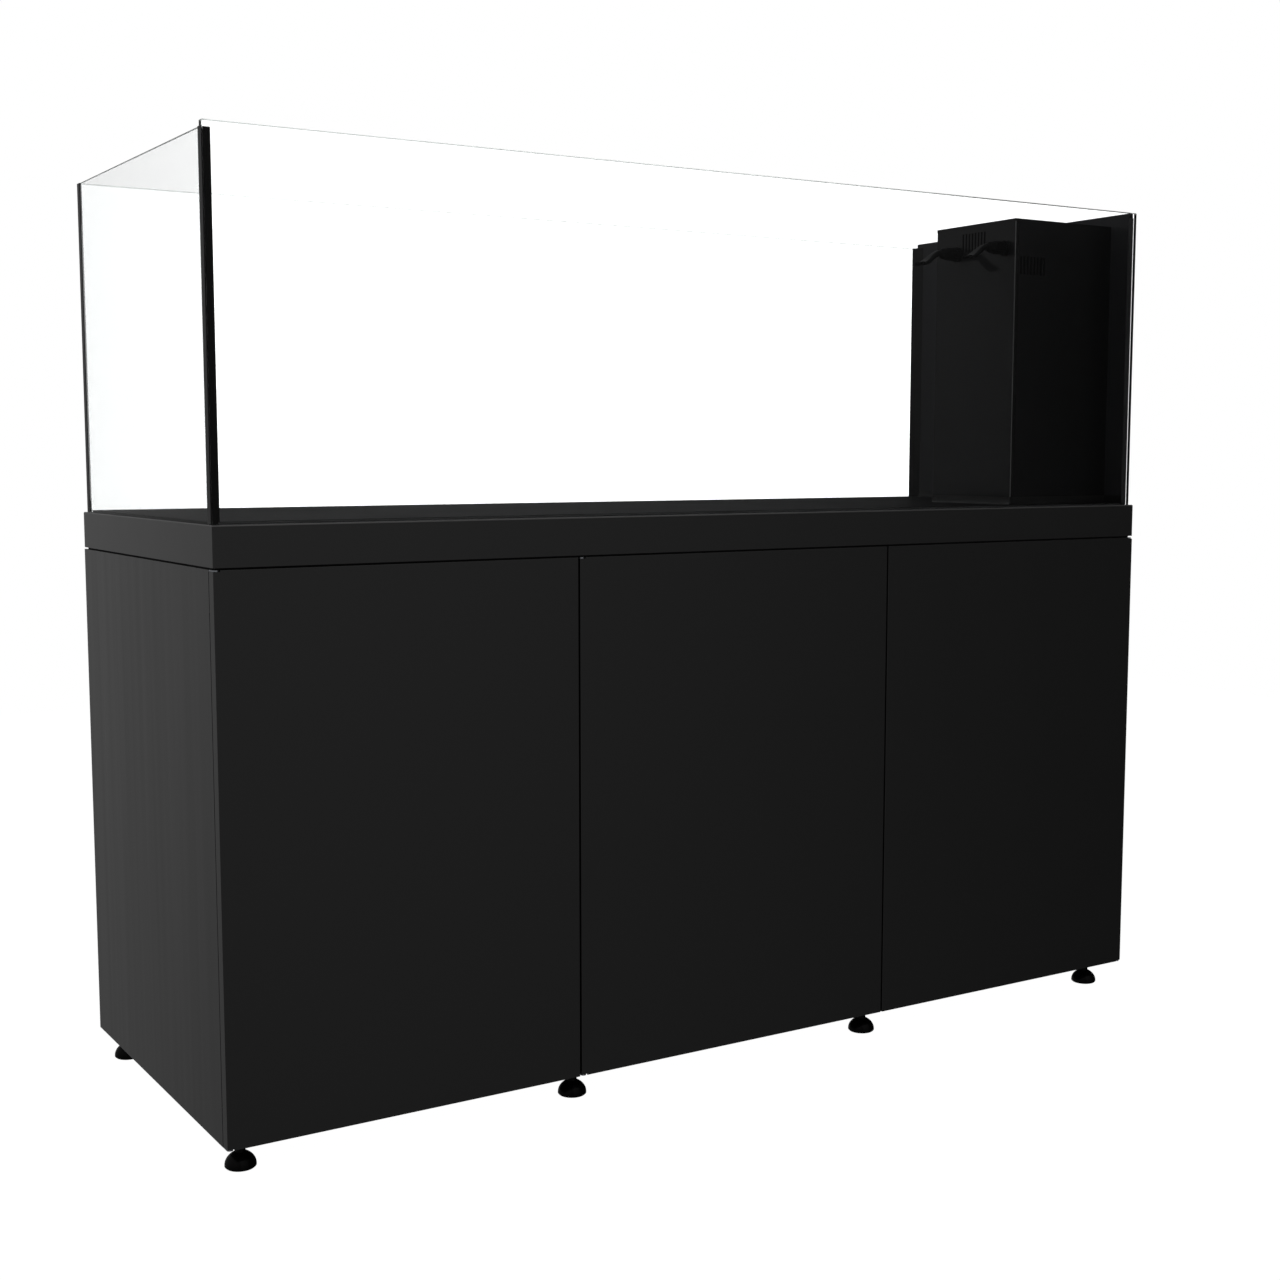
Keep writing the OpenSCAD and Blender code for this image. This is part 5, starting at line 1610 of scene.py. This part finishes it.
@dataclass
class Sump:
    """The glass sump, with its filter tray, its slatted basket and the pump."""

    glass_edge: float = 0.8 * MM
    tray_edge: float = 0.4 * MM
    rim: float = 10.0 * MM
    sheet: float = 3.0 * MM
    foot_band: float = 12.0 * MM
    head_band: float = 28.0 * MM
    half_band: float = 2.5 * MM
    slat: float = 3.4 * MM
    slat_gap: float = 8.0 * MM
    slat_share: float = 0.9
    rows: int = 3
    round_r: float = 0.8 * MM
    band_r: float = 0.6 * MM

    def build(self) -> None:
        """Makes the sump and what stands in it."""
        eased("sump_tank", "sump_panes", FLOAT, "sump_glass", self.glass_edge, 1,
              shading=Shading.FLAT)
        eased("filter_tray", "filter_tray_sheet", ACRYLIC, "black_acrylic", self.tray_edge, 2,
              shading=Shading.SHEET)
        self.basket()
        ReturnPump().build()

    def basket(self) -> None:
        """Makes the filter basket: a rim, a floor, corner posts, bands and upright slats."""
        shape = bmesh.new()
        outer, t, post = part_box("filter_basket"), self.sheet, 2 * self.sheet
        inset = Vector((self.rim, self.rim, 0))
        low, high = outer[0] + inset, outer[1] - inset
        lip, top = outer[1].z - t, outer[1].z - t / 2
        block(shape, low, (high.x, high.y, low.z + t), self.round_r)
        self.hoop(shape, outer, (low, high), (lip, outer[1].z), self.round_r)
        foot, head = low.z + self.foot_band, lip - self.head_band
        step = (head - foot) / self.rows
        bands = [(low.z, foot), (head, top)]
        bands += [(foot + step * i - self.half_band, foot + step * i + self.half_band)
                  for i in range(1, self.rows)]
        for band in bands:
            self.hoop(shape, (low, high), (low, high), band, self.band_r)
        for x in (low.x, high.x - post):
            for y in (low.y, high.y - post):
                block(shape, (x, y, low.z), (x + post, y + post, top), self.round_r)
        slats = slat_grid_tree(POLYPROPYLENE)
        middle, size = (low + high) / 2, high - low
        middle.z = (foot + head) / 2
        for turn, span, depth in ((0.0, size.x, size.y), (math.pi / 2, size.y, size.x)):
            count = int((span - 2 * post) / self.slat_gap)
            for side in (-1, 1):
                place = Matrix.Translation(middle) @ Matrix.Rotation(turn, 4, "Z")
                grow(shape, slats, {"Columns": count, "Rows": self.rows,
                                    "Width": (count - 1) * self.slat_gap,
                                    "Height": step * (self.rows - 1), "Slat width": self.slat,
                                    "Slat height": step, "Slat depth": t * self.slat_share},
                     place @ Matrix.Translation((0, side * (depth - t) / 2, 0)))
        piece(shape, "filter_basket_slatted", [POLYPROPYLENE], "white_polypropylene",
              "filter_basket", body="filter_basket", shading=Shading.FORMED)

    def hoop(self, shape: Shape, outer: Box, inner: Box, levels: tuple[float, float],
             radius: float) -> None:
        """Adds a level hoop of four strips around the basket.

        Args:
            shape: The mesh under construction.
            outer: The box whose sides it reaches.
            inner: The box whose walls, one sheet thick, it takes in.
            levels: Its bottom and its top.
            radius: How far its edges are rounded.
        """
        (a, b), (low, high), t = outer, inner, self.sheet
        for x0, y0, x1, y1 in ((a.x, a.y, b.x, low.y + t), (a.x, high.y - t, b.x, b.y),
                               (a.x, low.y, low.x + t, high.y), (high.x - t, low.y, b.x, high.y)):
            block(shape, (x0, y0, levels[0]), (x1, y1, levels[1]), radius)


@dataclass
class ReturnPump:
    """The return pump: a finned motor, a volute, a caged intake, saddles and a riser.

    Its lengths run along the shaft from the volute's outer face.
    """

    axis_x: float = 60.0 * MM
    axis_z: float = 45.0 * MM
    half_l: float = 54.0 * MM
    body_r: float = 32.0 * MM
    core_r: float = 28.5 * MM
    cap_r: float = 25.0 * MM
    volute_l: float = 34.0 * MM
    core_start: float = 36.0 * MM
    core_end: float = 104.0 * MM
    body_rounds: tuple[float, ...] = (4 * MM, 2 * MM, 0.8 * MM, 3 * MM, 1.5 * MM)
    fins: int = 9
    fin_start: float = 42.0 * MM
    fin_pitch: float = 7.2 * MM
    fin_t: float = 2.2 * MM
    nose_r: float = 22.0 * MM
    nose_lip: float = 3.0 * MM
    nose_chamfer: float = 0.4 * MM
    nose_in: float = 2.4 * MM
    nose_wall: float = 4.0 * MM
    cage_in: float = 1.4 * MM
    cage_r: float = 1.2 * MM
    cage_ribs: int = 24
    lap: float = 1.0 * MM
    base_l: float = 120.0 * MM
    base_t: float = 6.0 * MM
    base_round: float = 1.6 * MM
    saddle_x: float = 36.0 * MM
    saddle_half: tuple[float, float] = (5.0 * MM, 20.0 * MM)
    saddle_drop: float = 18.0 * MM
    saddle_round: float = 1.0 * MM
    riser_foot: float = 24.0 * MM
    riser_bore: float = 10.0 * MM
    riser_r: float = 14.0 * MM
    hub_r: float = 15.5 * MM
    hub: tuple[float, float] = (20.0 * MM, 19.0 * MM)
    riser_rounds: tuple[float, ...] = (0.5 * MM, 0.5 * MM, 0.5 * MM, 1.2 * MM)

    def build(self) -> None:
        """Makes the pump in one piece."""
        shape = bmesh.new()
        low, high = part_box("return_pump")
        middle = Vector((low.x + self.axis_x, (low.y + high.y) / 2, low.z + self.axis_z))
        self.motor(shape, along_x(middle + Vector((self.half_l, 0, 0))))
        self.intake(shape, along_x(Vector((high.x, middle.y, middle.z))),
                    high.x - middle.x - self.half_l)
        block(shape, low, (low.x + self.base_l, high.y, low.z + self.base_t), self.base_round)
        half_x, half_y = self.saddle_half
        for x in (middle.x - self.saddle_x, middle.x + self.saddle_x):
            block(shape, (x - half_x, middle.y - half_y, low.z + self.base_t / 2),
                  (x + half_x, middle.y + half_y, middle.z - self.saddle_drop), self.saddle_round)
        foot, (hub_low, hub_top) = middle.z + self.riser_foot, self.hub
        ring = [(self.riser_bore, foot), (self.riser_r, foot), (self.riser_r, high.z - hub_low),
                (self.hub_r, high.z - hub_top), (self.hub_r, high.z), (self.riser_bore, high.z)]
        lathe(shape, rounded(ring, self.riser_rounds), Matrix.Translation((middle.x, middle.y, 0)),
              SMALL, closed=True)
        piece(shape, "return_pump_finned", [ABS], "black_abs", "return_pump",
              shading=Shading.FORMED)

    def motor(self, shape: Shape, place: Matrix) -> None:
        """Adds the volute and the motor with its cooling fins.

        Args:
            shape: The mesh under construction.
            place: Where the shaft starts, at the volute's outer face.
        """
        end = 2 * self.half_l
        lathe(shape, rounded([(0.0, 0.0), (self.body_r, 0.0), (self.body_r, self.volute_l),
                              (self.core_r, self.core_start), (self.core_r, self.core_end),
                              (self.cap_r, end), (0.0, end)], self.body_rounds, 4), place)
        grow(shape, fin_row_tree(ABS), {"Fins": self.fins, "Pitch": self.fin_pitch,
                                        "Radius": self.body_r, "Thickness": self.fin_t},
             place @ raised(self.fin_start))

    def intake(self, shape: Shape, place: Matrix, length: float) -> None:
        """Adds the intake's tube with its lip, and the cage of ribs around it.

        Args:
            shape: The mesh under construction.
            place: Where the intake's mouth is.
            length: How far it stands out from the volute.
        """
        bore, back = self.nose_r - self.nose_wall, self.nose_r - self.nose_in
        end = length + self.lap
        lathe(shape, [(bore, 0), (self.nose_r, 0), (self.nose_r, self.nose_lip),
                      (back, self.nose_lip + self.nose_chamfer), (back, end), (bore, end)],
              place, SMALL, closed=True)
        grow(shape, rib_ring_tree(ABS), {
            "Ribs": self.cage_ribs, "Ring radius": self.nose_r - self.cage_in,
            "Rib radius": self.cage_r, "Rib length": length}, place @ raised(end / 2))


def wear(node: str, finish: Finish) -> None:
    """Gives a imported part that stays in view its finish.

    Args:
        node: The part's node name.
        finish: The finish.
    """
    slots = frame["nodes"][node].data.materials
    slots.clear()
    slots.append(finish.material())


@dataclass
class Studio:
    """A white studio: camera, paper floor and a backdrop that reflections see as a dim glow.

    The glow's level is set along X, from -1 to 1, and climbs with the height that is looked at.
    """

    camera_at: tuple[float, float, float] = (-1.6993, -2.7008, 1.0290)
    camera_pitch_deg: float = 90 - 6.029
    camera_turn_deg: float = -32.136
    lens_mm: float = 50.0
    sensor_mm: float = 36.0
    floor_size: float = 9.0
    paper: str = "#303030"
    glow: tuple[tuple[float, float], ...] = (
        (-1.0, 0.34), (-0.6, 0.28), (-0.33, 0.18), (-0.29, 0.26), (-0.255, 0.38), (-0.2, 0.42),
        (0.25, 0.3), (0.42, 0.29), (0.58, 0.2), (0.72, 0.034), (1.0, 0.02))
    climb: float = 0.6          # the looking height, down and up, over which the glow climbs
    climb_levels: tuple[float, float] = (0.36, 1.64)
    backdrop: float = 1.0
    pane_gain: float = 0.2      # what the backdrop gains for each face of glass in front of it
    pane_mirror: float = 0.35   # what is left of the reflections off the clear panes
    pane_depth: float = 2.5     # faces of glass behind which reflections stay whole

    def build(self) -> None:
        """Sets up the camera, the surroundings and the floor."""
        view = bpy.data.cameras.new("camera")
        view.lens, view.sensor_width = self.lens_mm, self.sensor_mm
        eye = bpy.data.objects.new("camera", view)
        eye.location = self.camera_at
        eye.rotation_euler = (math.radians(self.camera_pitch_deg), 0.0,
                              math.radians(self.camera_turn_deg))
        bpy.context.scene.collection.objects.link(eye)
        bpy.context.scene.camera = eye
        bpy.context.scene.view_settings.view_transform = "Standard"
        self.surroundings()
        self.floor()

    def surroundings(self) -> None:
        """Makes a white backdrop for direct views and a dim, uneven glow for reflections."""
        world = bpy.data.worlds.new("studio")
        bpy.context.scene.world = world
        world.use_nodes = True
        tree = world.node_tree
        tree.nodes.clear()

        def maths(operation: str, *values: Socket | float) -> Socket:
            """Adds a sum of sockets and numbers."""
            return add(tree, "ShaderNodeMath", dict(enumerate(values)), operation=operation)

        way = add(tree, "ShaderNodeTexCoord", out="Generated")
        parts = tree.nodes.new("ShaderNodeSeparateXYZ")
        feed(tree, parts, {0: way})
        swept = add(tree, "ShaderNodeMapRange", {"Value": parts.outputs[0], "From Min": -1.0,
                                                 "From Max": 1.0})
        across = tree.nodes.new("ShaderNodeValToRGB")
        feed(tree, across, {0: swept})
        stops = across.color_ramp.elements
        while len(stops) < len(self.glow):
            stops.new(0.5)
        for stop, (at, level) in zip(stops, self.glow):
            stop.position, stop.color = (at + 1) / 2, grey(level)
        low, high = self.climb_levels
        height = add(tree, "ShaderNodeMapRange", {
            "Value": parts.outputs[2], "From Min": -self.climb, "From Max": self.climb,
            "To Min": low, "To Max": high})
        dim = maths("MULTIPLY", across.outputs[0], height)
        path = tree.nodes.new("ShaderNodeLightPath").outputs
        # A polarising filter takes most reflections off the clear panes, whose rays are sharp.
        near = maths("LESS_THAN", path["Transmission Depth"], self.pane_depth)
        sharp = maths("MULTIPLY", path["Is Singular Ray"], near)
        dim = maths("MULTIPLY", dim, maths("MULTIPLY_ADD", sharp, self.pane_mirror - 1, 1.0))
        bounced = maths("ADD", path["Diffuse Depth"], path["Glossy Depth"])
        direct = maths("LESS_THAN", bounced, 0.5)
        paned = maths("MULTIPLY_ADD", path["Transmission Depth"], self.pane_gain, self.backdrop)
        chosen = add(tree, "ShaderNodeMix", {0: direct, 2: dim, 3: paned})
        light = add(tree, "ShaderNodeBackground", {"Color": grey(1.0), "Strength": chosen})
        add(tree, "ShaderNodeOutputWorld", {0: light})

    def floor(self) -> None:
        """Lays a white paper floor, lit from within so that it meets the backdrop unseen."""
        paper = bpy.data.materials.new("white studio paper")
        paper.use_nodes = True
        feed(paper.node_tree, paper.node_tree.nodes["Principled BSDF"], {
            "Base Color": linear(self.paper), "Specular IOR Level": 0.0, "Roughness": 1.0,
            "Emission Color": grey(1.0), "Emission Strength": 1.0})
        shape = bmesh.new()
        bmesh.ops.create_grid(shape, x_segments=1, y_segments=1, size=self.floor_size / 2)
        mesh = bpy.data.meshes.new("studio_floor")
        shape.to_mesh(mesh)
        shape.free()
        mesh.materials.append(paper)
        floor = bpy.data.objects.new("studio_floor", mesh)
        floor.visible_glossy = floor.visible_diffuse = floor.visible_transmission = False
        bpy.context.scene.collection.objects.link(floor)


def main() -> None:
    """Builds the aquarium's pieces in order, and the studio around them."""
    logging.basicConfig(level=logging.INFO, format="%(name)s %(message)s")
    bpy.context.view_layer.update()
    for finish, nodes in CARRIED.items():
        for node in nodes:
            wear(node, finish)
    for assembly in (Cabinet(), Rim(), Tank(), OverflowBox(), LevellingFeet(), Pipework(), Sump(),
                     Studio()):
        LOG.info("building %s", type(assembly).__name__)
        assembly.build()


if __name__ == "__main__":
    main()
